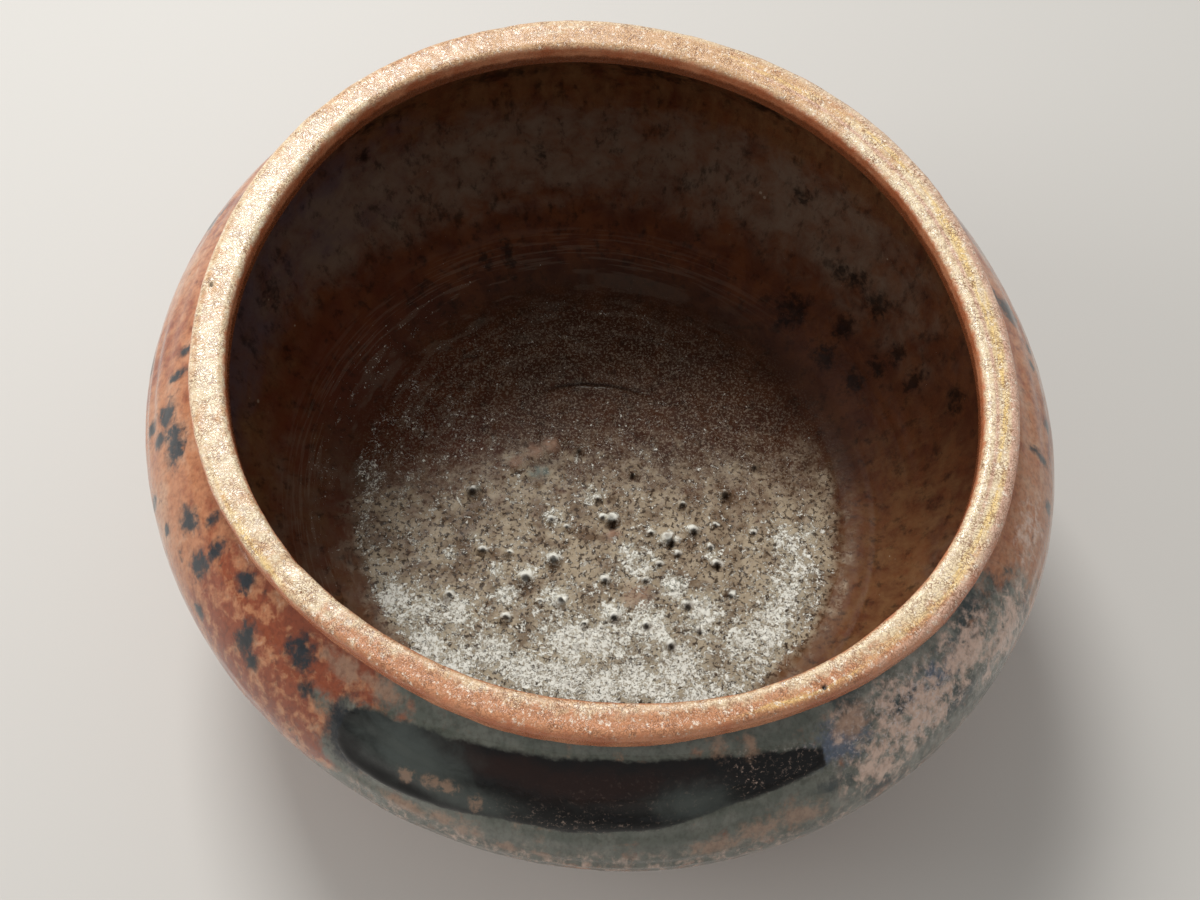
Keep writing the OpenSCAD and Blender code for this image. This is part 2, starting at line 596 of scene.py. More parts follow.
class Graph:
    """Node tree under construction, with a short method for each kind of step.

    What a step takes is a plain value, or the output of an earlier step.
    """

    def __init__(self, tree: Tree) -> None:
        """Start with the tree that the nodes go into."""
        self.tree = tree

    def feed(self, socket: Socket, value: object) -> None:
        """Link a socket to another, or set its value.

        Args:
            socket: The input.
            value: An output to link it to, or a plain value.
        """
        if isinstance(value, Socket):
            self.tree.links.new(value, socket)
        else:
            socket.default_value = value

    def add(self, kind: str, values: dict | None = None, **settings: object) -> Node:
        """Add a node.

        Args:
            kind: The node's type.
            values: What its inputs take, by name or number.
            **settings: Properties of the node.

        Returns:
            The node.
        """
        node = self.tree.nodes.new(kind)
        for name, value in settings.items():
            setattr(node, name, value)
        for key, value in (values or {}).items():
            self.feed(node.inputs[key], value)
        return node

    def math(self, operation: str, first: object, second: object = 0.0) -> Socket:
        """Work out one value from two by the named operation."""
        return self.add("ShaderNodeMath", {0: first, 1: second}, operation=operation).outputs[0]

    times = partialmethod(math, "MULTIPLY")
    plus = partialmethod(math, "ADD")
    less = partialmethod(math, "SUBTRACT")

    def span(self, value: object, low: object, high: object, to_low: float = 0.0,
             to_high: float = 1.0) -> Socket:
        """Carry the range from low to high smoothly to another range, and hold the value inside it."""
        inputs = {0: value, 1: low, 2: high, 3: to_low, 4: to_high}
        return self.add("ShaderNodeMapRange", inputs, interpolation_type="SMOOTHSTEP").outputs[0]

    def blend(self, share: object, low: object, high: object, mix: Mix = Mix.PLAIN) -> Socket:
        """Blend two colours, where the share says how much of the second shows."""
        inputs = {0: share, 6: low, 7: high}
        return self.add("ShaderNodeMix", inputs, data_type="RGBA", blend_type=mix.value).outputs[2]

    def noise(self, vector: object, scale: object, detail: float = 2.0, roughness: float = 0.5,
              distortion: float = 0.0) -> Socket:
        """Make a cloudy noise.

        Args:
            vector: Where to read it.
            scale: Clouds to the metre.
            detail: How many finer layers it has.
            roughness: How strong the finer layers are.
            distortion: How far it is stirred.

        Returns:
            The noise, round about 0.5.
        """
        inputs = {"Vector": vector, "Scale": scale, "Detail": detail, "Roughness": roughness,
                  "Distortion": distortion}
        return self.add("ShaderNodeTexNoise", inputs).outputs[0]

    def field(self, name: str, kind: str = "Fac") -> Socket:
        """Read one of the piece's own named values, from the output of the given kind."""
        return self.add("ShaderNodeAttribute", attribute_name=name).outputs[kind]

    def place(self, drawn: float = 1.0) -> Socket:
        """Read the place on the piece.

        Args:
            drawn: Scale along Z, where less than 1 draws a pattern out into runs.

        Returns:
            The place.
        """
        place = self.add("ShaderNodeTexCoord").outputs["Object"]
        if drawn == 1.0:
            return place
        return self.add("ShaderNodeMapping", {"Vector": place, "Scale": (1.0, 1.0, drawn)}).outputs[0]

    def effect(self, group: Tree, values: dict) -> Socket:
        """Place a shared effect.

        Args:
            group: The effect's node group.
            values: What its inputs take.

        Returns:
            The effect's output.
        """
        node = self.add("ShaderNodeGroup", node_tree=group)
        for key, value in values.items():
            self.feed(node.inputs[key], value)
        return node.outputs[0]


Started = tuple[Graph, dict[str, Socket], Socket]


def start_tree(name: str, kind: str, inputs: dict[str, str], output: str) -> Started:
    """Start a node group.

    Args:
        name: The group's name.
        kind: What it works on, which is Shader or Geometry.
        inputs: Names of its inputs, with their kinds.
        output: Kind of what it gives.

    Returns:
        The graph, what its inputs give by name, and the socket that takes the result.
    """
    tree = bpy.data.node_groups.new(name, kind + "NodeTree")
    for label, socket in inputs.items():
        tree.interface.new_socket(label, in_out="INPUT", socket_type="NodeSocket" + socket)
    tree.interface.new_socket("Result", in_out="OUTPUT", socket_type="NodeSocket" + output)
    graph = Graph(tree)
    given = {socket.name: socket for socket in graph.add("NodeGroupInput").outputs}
    return graph, given, graph.add("NodeGroupOutput").inputs[0]


class Effects:
    """Effects that several finishes share, each built once as a node group."""

    def __init__(self) -> None:
        """Build the groups."""
        self.broken = self._broken_edge()
        self.flecks = self._flecks()
        self.pins = self._pins()

    @staticmethod
    def _start(name: str, *numbers: str) -> Started:
        """Start a group that takes a place and the named numbers, and gives a mask."""
        inputs = {"Place": "Vector", **dict.fromkeys(numbers, "Float")}
        return start_tree(name, "Shader", inputs, "Float")

    def _broken_edge(self) -> Tree:
        """Cut a soft field into a mask with a ragged edge.

        Returns:
            The group.
        """
        graph, given, mask = self._start("broken_edge", "Field", "Scale", "Ragged", "Soft")
        cloud = graph.noise(given["Place"], given["Scale"], 5.0, 0.65, 0.3)
        reach = graph.times(given["Ragged"], graph.span(given["Field"], 0.0, 0.3, 0.0, 2.0))
        value = graph.plus(given["Field"], graph.times(graph.less(cloud, 0.5), reach))
        graph.feed(mask, graph.span(value, graph.less(0.5, given["Soft"]), graph.plus(0.5, given["Soft"])))
        return graph.tree

    def _flecks(self) -> Tree:
        """Scatter small ragged flecks.

        Returns:
            The group.
        """
        graph, given, mask = self._start("flecks", "Scale", "Cover", "Soft")
        coarse = graph.noise(given["Place"], given["Scale"], 3.0, 0.7, 0.4)
        level = graph.less(0.75, graph.times(given["Cover"], 0.5))
        graph.feed(mask, graph.span(coarse, level, graph.plus(level, given["Soft"])))
        return graph.tree

    def _pins(self) -> Tree:
        """Scatter small round dots.

        Returns:
            The group.
        """
        graph, given, mask = self._start("pins", "Scale", "Size", "Thin")
        inputs = {"Vector": given["Place"], "Scale": given["Scale"]}
        near = graph.add("ShaderNodeTexVoronoi", inputs).outputs[0]
        fine = graph.noise(given["Place"], graph.times(given["Scale"], 0.37), 1.0)
        size = graph.times(given["Size"], graph.span(fine, given["Thin"], 0.8))
        graph.feed(mask, graph.span(graph.less(size, near), 0.0, 0.05))
        return graph.tree


@dataclass(frozen=True)
class Layer:
    """Glaze laid over another where one of the piece's fields says so, with a ragged edge.

    Attributes:
        field: Name of the field.
        colour: The glaze's colour.
        scale: Rags of the edge to the metre.
        ragged: How far the edge wanders.
        soft: How soft the edge is.
        drawn: Scale of the rags along Z, where less than 1 draws them out into runs.
        cover: Share of the colour where the layer is full.
    """

    field: str
    colour: Colour
    scale: float
    ragged: float
    soft: float
    drawn: float = 1.0
    cover: float = 1.0


@dataclass(frozen=True)
class Finish:
    """Surface of one kind of piece.

    The finishes under it add their colours, and the layers that they lay over the ground, as fields.

    Attributes:
        effects: The shared effects.
    """

    effects: Effects

    def start(self, name: str) -> tuple[Material, Graph, Node]:
        """Start a material.

        Args:
            name: The material's name.

        Returns:
            The material, its graph and its shader.
        """
        material = bpy.data.materials.new(name)
        material.use_nodes = True
        shader = material.node_tree.nodes["Principled BSDF"]
        shader.inputs["IOR"].default_value = 1.5
        return material, Graph(material.node_tree), shader

    def mask(self, graph: Graph, layer: Layer) -> Socket:
        """Cut a layer's field into a mask with a ragged edge.

        Args:
            graph: The material's graph.
            layer: The layer.

        Returns:
            The mask.
        """
        inputs = {"Place": graph.place(layer.drawn), "Field": graph.field(layer.field),
                  "Scale": layer.scale, "Ragged": layer.ragged, "Soft": layer.soft}
        mask = graph.effect(self.effects.broken, inputs)
        return mask if layer.cover == 1.0 else graph.times(mask, layer.cover)

    def lay(self, graph: Graph, colour: object, *layers: Layer) -> Socket:
        """Lay layers over a colour.

        Args:
            graph: The material's graph.
            colour: The colour.
            *layers: The layers, the lowest first.

        Returns:
            The colour with the layers on it.
        """
        for layer in layers:
            colour = graph.blend(self.mask(graph, layer), colour, layer.colour)
        return colour

    def flecks(self, graph: Graph, scale: float, cover: object, soft: float) -> Socket:
        """Give a mask of small ragged flecks: how many to the metre, how much they cover, how soft."""
        inputs = {"Place": graph.place(), "Scale": scale, "Cover": cover, "Soft": soft}
        return graph.effect(self.effects.flecks, inputs)

    def pins(self, graph: Graph, scale: float, size: float, thin: float) -> Socket:
        """Give a mask of small round dots: how many to the metre, how large and how thinned out."""
        inputs = {"Place": graph.place(), "Scale": scale, "Size": size, "Thin": thin}
        return graph.effect(self.effects.pins, inputs)

    def surface(self, graph: Graph, shader: Node, colour: Socket, relief: Socket, depth: float) -> None:
        """Give the shader its colour and a fine relief.

        Args:
            graph: The material's graph.
            shader: The shader.
            colour: The colour.
            relief: The relief.
            depth: How deep the relief is, in millimetres.
        """
        graph.feed(shader.inputs["Base Color"], colour)
        node = graph.add("ShaderNodeBump", {"Height": relief, "Distance": depth * MM, "Strength": 1.0})
        graph.feed(shader.inputs["Normal"], node.outputs[0])


@dataclass(frozen=True)
class BareClay(Finish):
    """Bare fired stoneware, dry and gritty."""

    light: Colour = paint("#94694e")
    dark: Colour = paint("#6f4a37")
    grit: Colour = paint("#3d2a20")

    def material(self) -> Material:
        """Build the material.

        Returns:
            The material.
        """
        material, graph, shader = self.start("bare_clay")
        shader.inputs["Roughness"].default_value = 0.82
        cloud = graph.noise(graph.place(), 120.0, 5.0, 0.6)
        colour = graph.blend(graph.span(cloud, 0.35, 0.65), self.light, self.dark)
        colour = graph.blend(graph.times(self.pins(graph, 420.0, 0.3, 0.45), 0.7), colour, self.grit)
        self.surface(graph, shader, colour, graph.noise(graph.place(), 1600.0, 4.0, 0.65), 0.12)
        return material


@dataclass(frozen=True)
class LipGlaze(Finish):
    """Buff glaze with a broken grain, copper where it thins on the edges, with painted highlights and
    painted glints.
    """

    cream: Colour = paint("#edd9b5")
    buff: Colour = paint("#d6ad83")
    copper: Colour = paint("#d28c64")
    gold: Colour = paint("#f3cf84")
    vein: Colour = paint("#7f5437")
    glint: Colour = paint("#fff2dc")
    pit: Colour = paint("#120c09")
    warm: Layer = Layer("warm", paint("#c98d66"), 520.0, 1.2, 0.4)
    blush: Layer = Layer("blush", paint("#dcb49c"), 700.0, 0.5, 0.4)
    edge: Layer = Layer("edge", paint("#b96b45"), 500.0, 0.8, 0.4)
    fold: Layer = Layer("fold", paint("#7a4327"), 700.0, 0.5, 0.3)

    def material(self) -> Material:
        """Build the material.

        Returns:
            The material.
        """
        material, graph, shader = self.start("lip_glaze")
        place = graph.place()
        across = graph.field("grain", "Vector")
        grain = graph.noise(across, 2000.0, 2.0, 0.55, 0.5)
        worm = graph.math("ABSOLUTE", graph.less(grain, 0.5))
        salt = graph.noise(across, 1300.0, 3.0, 0.65)
        streak = graph.noise(graph.field("track", "Vector"), 900.0, 3.0, 0.6)
        cloud = graph.noise(place, 130.0, 5.0, 0.65)
        blots = graph.noise(place, 560.0, 3.0, 0.6)
        shift = graph.times(graph.less(graph.plus(cloud, blots), 1.0), 1.7)
        pale = graph.plus(graph.field("cream"), shift)
        colour = graph.blend(graph.span(pale, 0.15, 0.8), self.buff, self.cream)
        colour = self.lay(graph, colour, self.warm)
        golden = graph.times(graph.field("gold"), graph.span(streak, 0.4, 0.6))
        colour = self.lay(graph, graph.blend(golden, colour, self.gold), self.blush)
        lines = graph.times(graph.span(streak, 0.55, 0.7), graph.field("lines"))
        # Painted highlight: cream lines where a lamp would shine on the lip's rounded edges.
        lines = graph.math("MAXIMUM", lines, graph.times(graph.field("shine"), 0.85))
        colour = graph.blend(lines, colour, self.cream)
        # Painted glints: white specks where a lamp would catch the grain of the glaze.
        colour = graph.blend(graph.span(salt, 0.55, 0.67, 0.0, 0.8), colour, self.glint)
        patchy = graph.span(graph.noise(place, 320.0, 3.0), 0.35, 0.65, 0.4, 1.0)
        worms = graph.times(graph.span(worm, 0.0, 0.09, 0.95, 0.0), patchy)
        colour = graph.blend(worms, colour, self.vein)
        thin = graph.blend(graph.span(cloud, 0.38, 0.6), self.copper, self.edge.colour)
        colour = graph.blend(self.mask(graph, self.edge), colour, thin)
        colour = self.lay(graph, colour, self.fold)
        colour = graph.blend(graph.field("pit"), colour, self.pit)
        graph.feed(shader.inputs["Roughness"], graph.span(grain, 0.35, 0.65, 0.15, 0.3))
        self.surface(graph, shader, colour, graph.span(worm, 0.0, 0.12), 0.025)
        return material


@dataclass(frozen=True)
class OuterGlaze(Finish):
    """Red brown glaze with dark spots, under grey green runs and tan blotches."""

    orange: Colour = paint("#b97b55")
    peach: Colour = paint("#c59777")
    red: Colour = paint("#8e4629")
    pale_green: Colour = paint("#908e83")
    lilac_highlight: Colour = paint("#d6c8c3")
    spot_sheen: Colour = paint("#363a40")
    grime: Colour = paint("#8a7468")
    green: Layer = Layer("green", paint("#5a5e54"), 300.0, 0.9, 0.3, 0.5)
    slate: Layer = Layer("slate", paint("#333d3c"), 420.0, 1.2, 0.35, 0.4)
    blue: Layer = Layer("blue", paint("#5c6980"), 520.0, 1.2, 0.45, cover=0.75)
    pink: Layer = Layer("pink", paint("#dabba8"), 620.0, 1.8, 0.45, 0.4)
    tan: Layer = Layer("tan", paint("#a5836b"), 520.0, 1.3, 0.45, 0.6, 0.8)
    halo: Layer = Layer("spot", paint("#4a342b"), 420.0, 1.0, 0.5, 0.6, 0.7)
    spot: Layer = Layer("spot", paint("#202428"), 620.0, 1.3, 0.4, 0.6)
    pour: Layer = Layer("pour", paint("#0c0b0b"), 300.0, 0.3, 0.12, 2.0)
    ember: Layer = Layer("ember", paint("#26140e"), 260.0, 0.7, 0.5)
    haze: Layer = Layer("haze", paint("#484d49"), 200.0, 0.5, 0.45)
    crust: Layer = Layer("tan", paint("#a5836b"), 760.0, 2.0, 0.5, 0.6, 0.6)

    def wall_colour(self, graph: Graph) -> Socket:
        """Build the colour of the coat outside the black pour.

        Args:
            graph: The material's graph.

        Returns:
            The colour.
        """
        runs = graph.place(0.4)
        red = graph.field("red")
        wide = graph.less(graph.noise(runs, 75.0, 4.0, 0.6, 0.5), 0.5)
        cloud = graph.less(graph.noise(graph.place(0.7), 430.0, 5.0, 0.6, 0.3), 0.5)
        warm = graph.times(cloud, graph.plus(graph.times(red, 1.3), 0.45))
        warm = graph.plus(graph.times(wide, 0.75), warm)
        warm = graph.plus(warm, graph.times(red, 0.26))
        colour = graph.blend(graph.span(warm, -0.2, 0.04), self.peach, self.orange)
        colour = graph.blend(graph.span(warm, 0.0, 0.24), colour, self.red)
        pepper = graph.plus(graph.noise(runs, 430.0, 4.0, 0.6, 0.2), graph.field("pepper"))
        colour = graph.blend(graph.span(pepper, 0.66, 0.82, 0.0, 0.85), colour, self.halo.colour)
        streak = graph.noise(graph.place(0.3), 300.0, 4.0, 0.6, 0.3)
        pale = graph.times(graph.span(streak, 0.34, 0.66), graph.field("veil"))
        greens = graph.blend(pale, self.green.colour, self.pale_green)
        greens = self.lay(graph, greens, self.slate, self.blue)
        colour = graph.blend(self.mask(graph, self.green), colour, greens)
        colour = self.lay(graph, colour, self.pink, self.tan)
        # Painted highlight: lilac flecks where a lamp would glint on the right of the coat.
        sparkle = graph.times(self.flecks(graph, 1500.0, 0.44, 0.1), graph.field("sparkle"))
        colour = self.lay(graph, graph.blend(sparkle, colour, self.lilac_highlight), self.halo)
        # Painted sheen: the dark spots turn blue grey where the lit field says a lamp shines on them.
        spots = graph.blend(graph.field("lit"), self.spot.colour, self.spot_sheen)
        colour = graph.blend(self.mask(graph, self.spot), colour, spots)
        fine = graph.span(graph.noise(runs, 1300.0, 3.0, 0.6), 0.4, 0.7, 0.0, 0.35)
        return graph.blend(fine, colour, self.grime, Mix.DARKEN)

    def material(self) -> Material:
        """Build the material of the coat.

        Returns:
            The material.
        """
        material, graph, shader = self.start("outer_glaze")
        cloud = graph.noise(graph.place(), 300.0, 4.0, 0.6)
        graph.feed(shader.inputs["Roughness"], graph.span(cloud, 0.35, 0.7, 0.09, 0.22))
        self.surface(graph, shader, self.wall_colour(graph), graph.noise(graph.place(), 650.0, 3.0), 0.06)
        return material

    def pour_material(self) -> Material:
        """Build the material of the black pour, whose margin is the coat's own colour.

        Returns:
            The material.
        """
        material, graph, shader = self.start("black_pour")
        shader.inputs["Specular IOR Level"].default_value = 0.26
        dark = self.lay(graph, self.pour.colour, self.ember, self.haze)
        # Real pink specks in the pour; through the coat's colour the same field also gives its margin the
        # painted lilac highlight.
        sparkle = graph.times(self.flecks(graph, 1500.0, 0.42, 0.2), graph.field("sparkle"))
        dark = self.lay(graph, graph.blend(sparkle, dark, self.pink.colour), self.crust)
        inside = self.mask(graph, self.pour)
        graph.feed(shader.inputs["Roughness"], graph.span(inside, 0.0, 1.0, 0.2, 0.09))
        colour = graph.blend(inside, self.wall_colour(graph), dark)
        self.surface(graph, shader, colour, graph.noise(graph.place(), 500.0, 3.0), 0.05)
        return material


@dataclass(frozen=True)
class WellGlaze(Finish):
    """Dark brown glaze of the inside, which pools into a pale speckled floor."""

    chocolate: Colour = paint("#522717")
    brown: Colour = paint("#6a3a20")
    umber: Colour = paint("#755f4a")
    chalk: Colour = paint("#cfc5ac")
    speck: Colour = paint("#ab9b87")
    pit: Colour = paint("#35271d")
    hole: Colour = paint("#1a120d")
    wall_layers: tuple[Layer, ...] = (
        # Rust brown glaze, and painted light low on the left wall.
        Layer("rust", paint("#7b5738"), 300.0, 1.0, 0.6, 0.3),
        Layer("maroon", paint("#66321f"), 120.0, 0.8, 0.45),
        # Painted reflection: a cool violet sheen on the glossy wall.
        Layer("violet", paint("#5c4b4e"), 120.0, 0.8, 0.45),
        # Painted reflection: a taupe sheen on the glossy wall, also painted light low on the left.
        Layer("taupe", paint("#7a6656"), 180.0, 0.8, 0.5),
    )
    blotch: Layer = Layer("blotch", paint("#0d0a09"), 560.0, 1.7, 0.5, cover=0.75)
    pool: Layer = Layer("pool", paint("#baa98f"), 300.0, 0.9, 0.45)
    teal: Layer = Layer("teal", paint("#7d8b83"), 420.0, 0.8, 0.45)
    ember: Layer = Layer("ember", paint("#a98771"), 420.0, 0.8, 0.45)
    # Its white serves the real crystals and the painted highlights.
    cap: Layer = Layer("cap", paint("#fffdf0"), 900.0, 0.8, 0.3)

    @staticmethod
    def streaks(graph: Graph) -> Socket:
        """Build the streaks that throwing drew out round the well.

        Args:
            graph: The material's graph.

        Returns:
            A value from -1 to 1.
        """
        turn = graph.add("ShaderNodeVectorMath", {"Vector": graph.place(0.0)}, operation="NORMALIZE")
        axes = graph.add("ShaderNodeSeparateXYZ", {"Vector": turn.outputs[0]}).outputs
        rise = graph.math("DIVIDE", graph.field("along"), 2.2 * MM)
        spread = {"X": graph.times(axes[0], 5.0), "Y": graph.times(axes[1], 5.0), "Z": rise}
        where = graph.add("ShaderNodeCombineXYZ", spread).outputs[0]
        return graph.span(graph.noise(where, 1.0, 3.0, 0.6), 0.36, 0.64, -1.0, 1.0)

    def wall_colour(self, graph: Graph) -> Socket:
        """Build the colour of the dark wall.

        Args:
            graph: The material's graph.

        Returns:
            The colour.
        """
        cloud = graph.noise(graph.place(), 150.0, 6.0, 0.65, 0.5)
        colour = graph.blend(graph.span(cloud, 0.38, 0.64), self.chocolate, self.brown)
        colour = self.lay(graph, colour, *self.wall_layers)
        shade = graph.noise(graph.place(0.5), 420.0, 5.0, 0.7)
        colour = graph.blend(graph.span(shade, 0.5, 0.7, 0.0, 0.6), colour, self.blotch.colour)
        colour = graph.blend(graph.times(self.pins(graph, 430.0, 0.2, 0.6), 0.6), colour, self.speck)
        thrown = graph.span(self.streaks(graph), 0.0, 1.0, 0.0, 2.2)
        colour = graph.blend(graph.times(thrown, graph.field("spun")), colour, self.speck)
        # Painted shade where the deep field says so.
        colour = graph.blend(graph.field("deep"), colour, self.pit)
        return self.lay(graph, colour, self.blotch)

    def pool_colour(self, graph: Graph) -> Socket:
        """Build the colour of the pooled glaze.

        Args:
            graph: The material's graph.

        Returns:
            The colour.
        """
        cloud = graph.noise(graph.place(), 170.0, 5.0, 0.65, 0.3)
        colour = graph.blend(graph.span(cloud, 0.38, 0.66), self.pool.colour, self.umber)
        # Chalk under the crystals, which also paints light on the front of the floor.
        colour = graph.blend(graph.span(graph.field("ash"), 0.25, 0.6, 0.0, 0.55), colour, self.chalk)
        return graph.blend(graph.times(self.flecks(graph, 1000.0, 0.48, 0.08), 0.88), colour, self.pit)

    def crystals(self, graph: Graph) -> Socket:
        """Build the mask of the pale crystals, with the painted highlights on the blisters.

        Args:
            graph: The material's graph.

        Returns:
            The mask.
        """
        patch = graph.span(graph.noise(graph.place(), 620.0, 5.0, 0.75, 0.6), 0.36, 0.66, -0.24, 0.24)
        ash = graph.field("ash")
        cover = graph.plus(ash, graph.times(patch, graph.span(ash, 0.0, 0.25)))
        cover = graph.plus(cover, graph.times(self.streaks(graph), graph.field("spun")))
        cover = graph.math("MINIMUM", cover, 0.64)
        small = graph.times(self.flecks(graph, 3400.0, cover, 0.06), 0.75)
        grains = graph.math("MAXIMUM", self.flecks(graph, 1700.0, cover, 0.06), small)
        pits = graph.span(self.flecks(graph, 1150.0, 0.42, 0.08), 0.0, 1.0, 1.0, 0.2)
        return graph.math("MAXIMUM", graph.times(grains, pits), self.mask(graph, self.cap))

    def material(self) -> Material:
        """Build the material.

        Returns:
            The material.
        """
        material, graph, shader = self.start("well_glaze")
        shader.inputs["Specular IOR Level"].default_value = 0.07
        pool = self.mask(graph, self.pool)
        colour = graph.blend(pool, self.wall_colour(graph), self.pool_colour(graph))
        dust = graph.times(self.flecks(graph, 2300.0, 0.5, 0.12), graph.field("dust"))
        colour = self.lay(graph, graph.blend(dust, colour, self.speck), self.teal, self.ember)
        crystals = self.crystals(graph)
        colour = graph.blend(crystals, colour, self.cap.colour)
        # Painted shadow in the groove and on the front of the blisters.
        colour = graph.blend(graph.field("hole"), colour, self.hole)
        graph.feed(shader.inputs["Roughness"], graph.span(pool, 0.0, 1.0, 0.42, 0.28))
        relief = graph.plus(graph.noise(graph.place(), 700.0, 3.0, 0.6), graph.times(crystals, 0.7))
        self.surface(graph, shader, colour, relief, 0.14)
        return material


def point_value(graph: Graph, name: str) -> Socket:
    """Read a named value of the points that a geometry tree works on.

    Args:
        graph: The tree's graph.
        name: The value's name.

    Returns:
        The value.
    """
    return graph.add("GeometryNodeInputNamedAttribute", {"Name": name}, data_type="FLOAT").outputs[0]


def raise_points(graph: Graph, given: dict[str, Socket], result: Socket, lift: Socket,
                 along: Socket) -> None:
    """Move the points by a lift, and set the material.

    Args:
        graph: The tree's graph.
        given: What the tree's inputs give.
        result: The socket that takes the result.
        lift: How far each point moves.
        along: The direction that it moves in.
    """
    offset = graph.add("ShaderNodeVectorMath", {0: along, "Scale": lift}, operation="SCALE").outputs[0]
    moved = graph.add("GeometryNodeSetPosition", {"Geometry": given["Geometry"], "Offset": offset})
    plain = graph.add("GeometryNodeRealizeInstances", {"Geometry": moved.outputs[0]})
    inputs = {"Geometry": plain.outputs[0], "Material": given["Glaze"]}
    graph.feed(result, graph.add("GeometryNodeSetMaterial", inputs).outputs[0])


@cache
def wall_relief() -> Tree:
    """Build the tree for walls: spiral throwing rings, glaze ripples and grain.

    Returns:
        The tree.
    """
    numbers = ("Ring Pitch", "Ring Height", "Ripple Scale", "Ripple Height", "Grain Scale", "Grain Height")
    inputs = {"Geometry": "Geometry", **dict.fromkeys(numbers, "Float"), "Glaze": "Material"}
    graph, given, result = start_tree("thrown_relief", "Geometry", inputs, "Geometry")
    place = graph.add("GeometryNodeInputPosition").outputs[0]
    normal = graph.add("GeometryNodeInputNormal").outputs[0]
    rows = graph.math("DIVIDE", point_value(graph, "along"), given["Ring Pitch"])
    turns = graph.times(graph.plus(rows, graph.noise(place, 25.0)), 2 * math.pi)
    wave = graph.math("SINE", graph.plus(turns, point_value(graph, "turn")))
    strength = graph.span(graph.noise(place, 40.0, 1.0), 0.35, 0.65)
    height = graph.times(given["Ring Height"], point_value(graph, "ringed"))
    lift = graph.times(graph.times(wave, strength), height)
    for kind, roughness in (("Ripple", 0.5), ("Grain", 0.6)):
        swell = graph.less(graph.noise(place, given[kind + " Scale"], 2.0, roughness), 0.5)
        lift = graph.plus(lift, graph.times(swell, given[kind + " Height"]))
    lift = graph.times(lift, point_value(graph, "relief"))
    raise_points(graph, given, result, graph.plus(lift, point_value(graph, "lift")), normal)
    return graph.tree


@cache
def blister_relief() -> Tree:
    """Build the tree for blisters: a low dome at each site, burst at its top where the site says so.

    Returns:
        The tree.
    """
    inputs = {"Geometry": "Geometry", "Sites": "Object", "Dome": "Float", "Hole": "Float",
              "Glaze": "Material"}
    graph, given, result = start_tree("blisters", "Geometry", inputs, "Geometry")
    sites = graph.add("GeometryNodeObjectInfo", {"Object": given["Sites"]}).outputs["Geometry"]
    place = graph.add("GeometryNodeInputPosition").outputs[0]
    nearest = graph.add("GeometryNodeSampleNearest", {"Geometry": sites}, domain="POINT").outputs[0]

    def sampled(value: Socket, kind: str) -> Socket:
        """Read a value of the nearest site.

        Args:
            value: The value.
            kind: Its data type.

        Returns:
            What the nearest site has.
        """
        inputs = {"Geometry": sites, "Index": nearest}
        node = graph.add("GeometryNodeSampleIndex", inputs, data_type=kind, domain="POINT")
        graph.feed(node.inputs["Value"], value)
        return node.outputs[0]

    centre = sampled(place, "FLOAT_VECTOR")
    size = sampled(point_value(graph, "size"), "FLOAT")
    burst = sampled(point_value(graph, "burst"), "FLOAT")
    flat = graph.add("ShaderNodeVectorMath", {0: place, 1: centre}, operation="SUBTRACT").outputs[0]
    flat = graph.add("ShaderNodeVectorMath", {0: flat, 1: (1.0, 1.0, 0.0)}, operation="MULTIPLY").outputs[0]
    reach = graph.add("ShaderNodeVectorMath", {0: flat}, operation="LENGTH").outputs["Value"]
    share = graph.math("DIVIDE", reach, size)
    dome = graph.times(graph.span(share, 0.15, 1.0, 1.0, 0.0), given["Dome"])
    hole = graph.times(graph.span(share, 0.08, 0.42, 1.0, 0.0), given["Hole"])
    height = graph.less(dome, graph.times(hole, burst))
    lift = graph.times(graph.times(height, size), point_value(graph, "relief"))
    raise_points(graph, given, result, lift, graph.add("ShaderNodeCombineXYZ", {"Z": 1.0}).outputs[0])
    return graph.tree


def settle(piece: Piece, tree: Tree, values: dict) -> None:
    """Run a geometry node tree on a piece, and keep the result as its plain mesh.

    Args:
        piece: The piece.
        tree: The tree.
        values: What the tree's named inputs take.
    """
    modifier = piece.modifiers.new(tree.name, "NODES")
    modifier.node_group = tree
    for item in tree.interface.items_tree:
        if item.name in values and item.in_out == "INPUT":
            modifier[item.identifier] = values[item.name]
    graph = bpy.context.evaluated_depsgraph_get()
    evaluated = piece.evaluated_get(graph)
    mesh = bpy.data.meshes.new_from_object(evaluated, preserve_all_data_layers=True, depsgraph=graph)
    piece.modifiers.remove(modifier)
    before = piece.data
    piece.data = mesh
    bpy.data.meshes.remove(before)
    mesh.name = piece.name


@dataclass(frozen=True)
class Relief:
    """Surface relief of a thrown and glazed wall, in millimetres.

    Attributes:
        pitch: Distance between throwing rings.
        ring: Height of the rings.
        ripple_size: Width of the glaze's ripples.
        ripple: Height of the ripples.
        grain_size: Width of the finest grain.
        grain: Height of the finest grain.
    """

    pitch: float
    ring: float
    ripple_size: float
    ripple: float
    grain_size: float
    grain: float

    def apply(self, piece: Piece, material: Material) -> None:
        """Raise the relief on a piece and give it its material.

        Args:
            piece: The piece, whose points say how much relief they take.
            material: The material to set.
        """
        settle(piece, wall_relief(), {
            "Ring Pitch": self.pitch * MM,
            "Ring Height": self.ring * MM,
            "Ripple Scale": 1.0 / (self.ripple_size * MM),
            "Ripple Height": self.ripple * MM,
            "Grain Scale": 1.0 / (self.grain_size * MM),
            "Grain Height": self.grain * MM,
            "Glaze": material,
        })


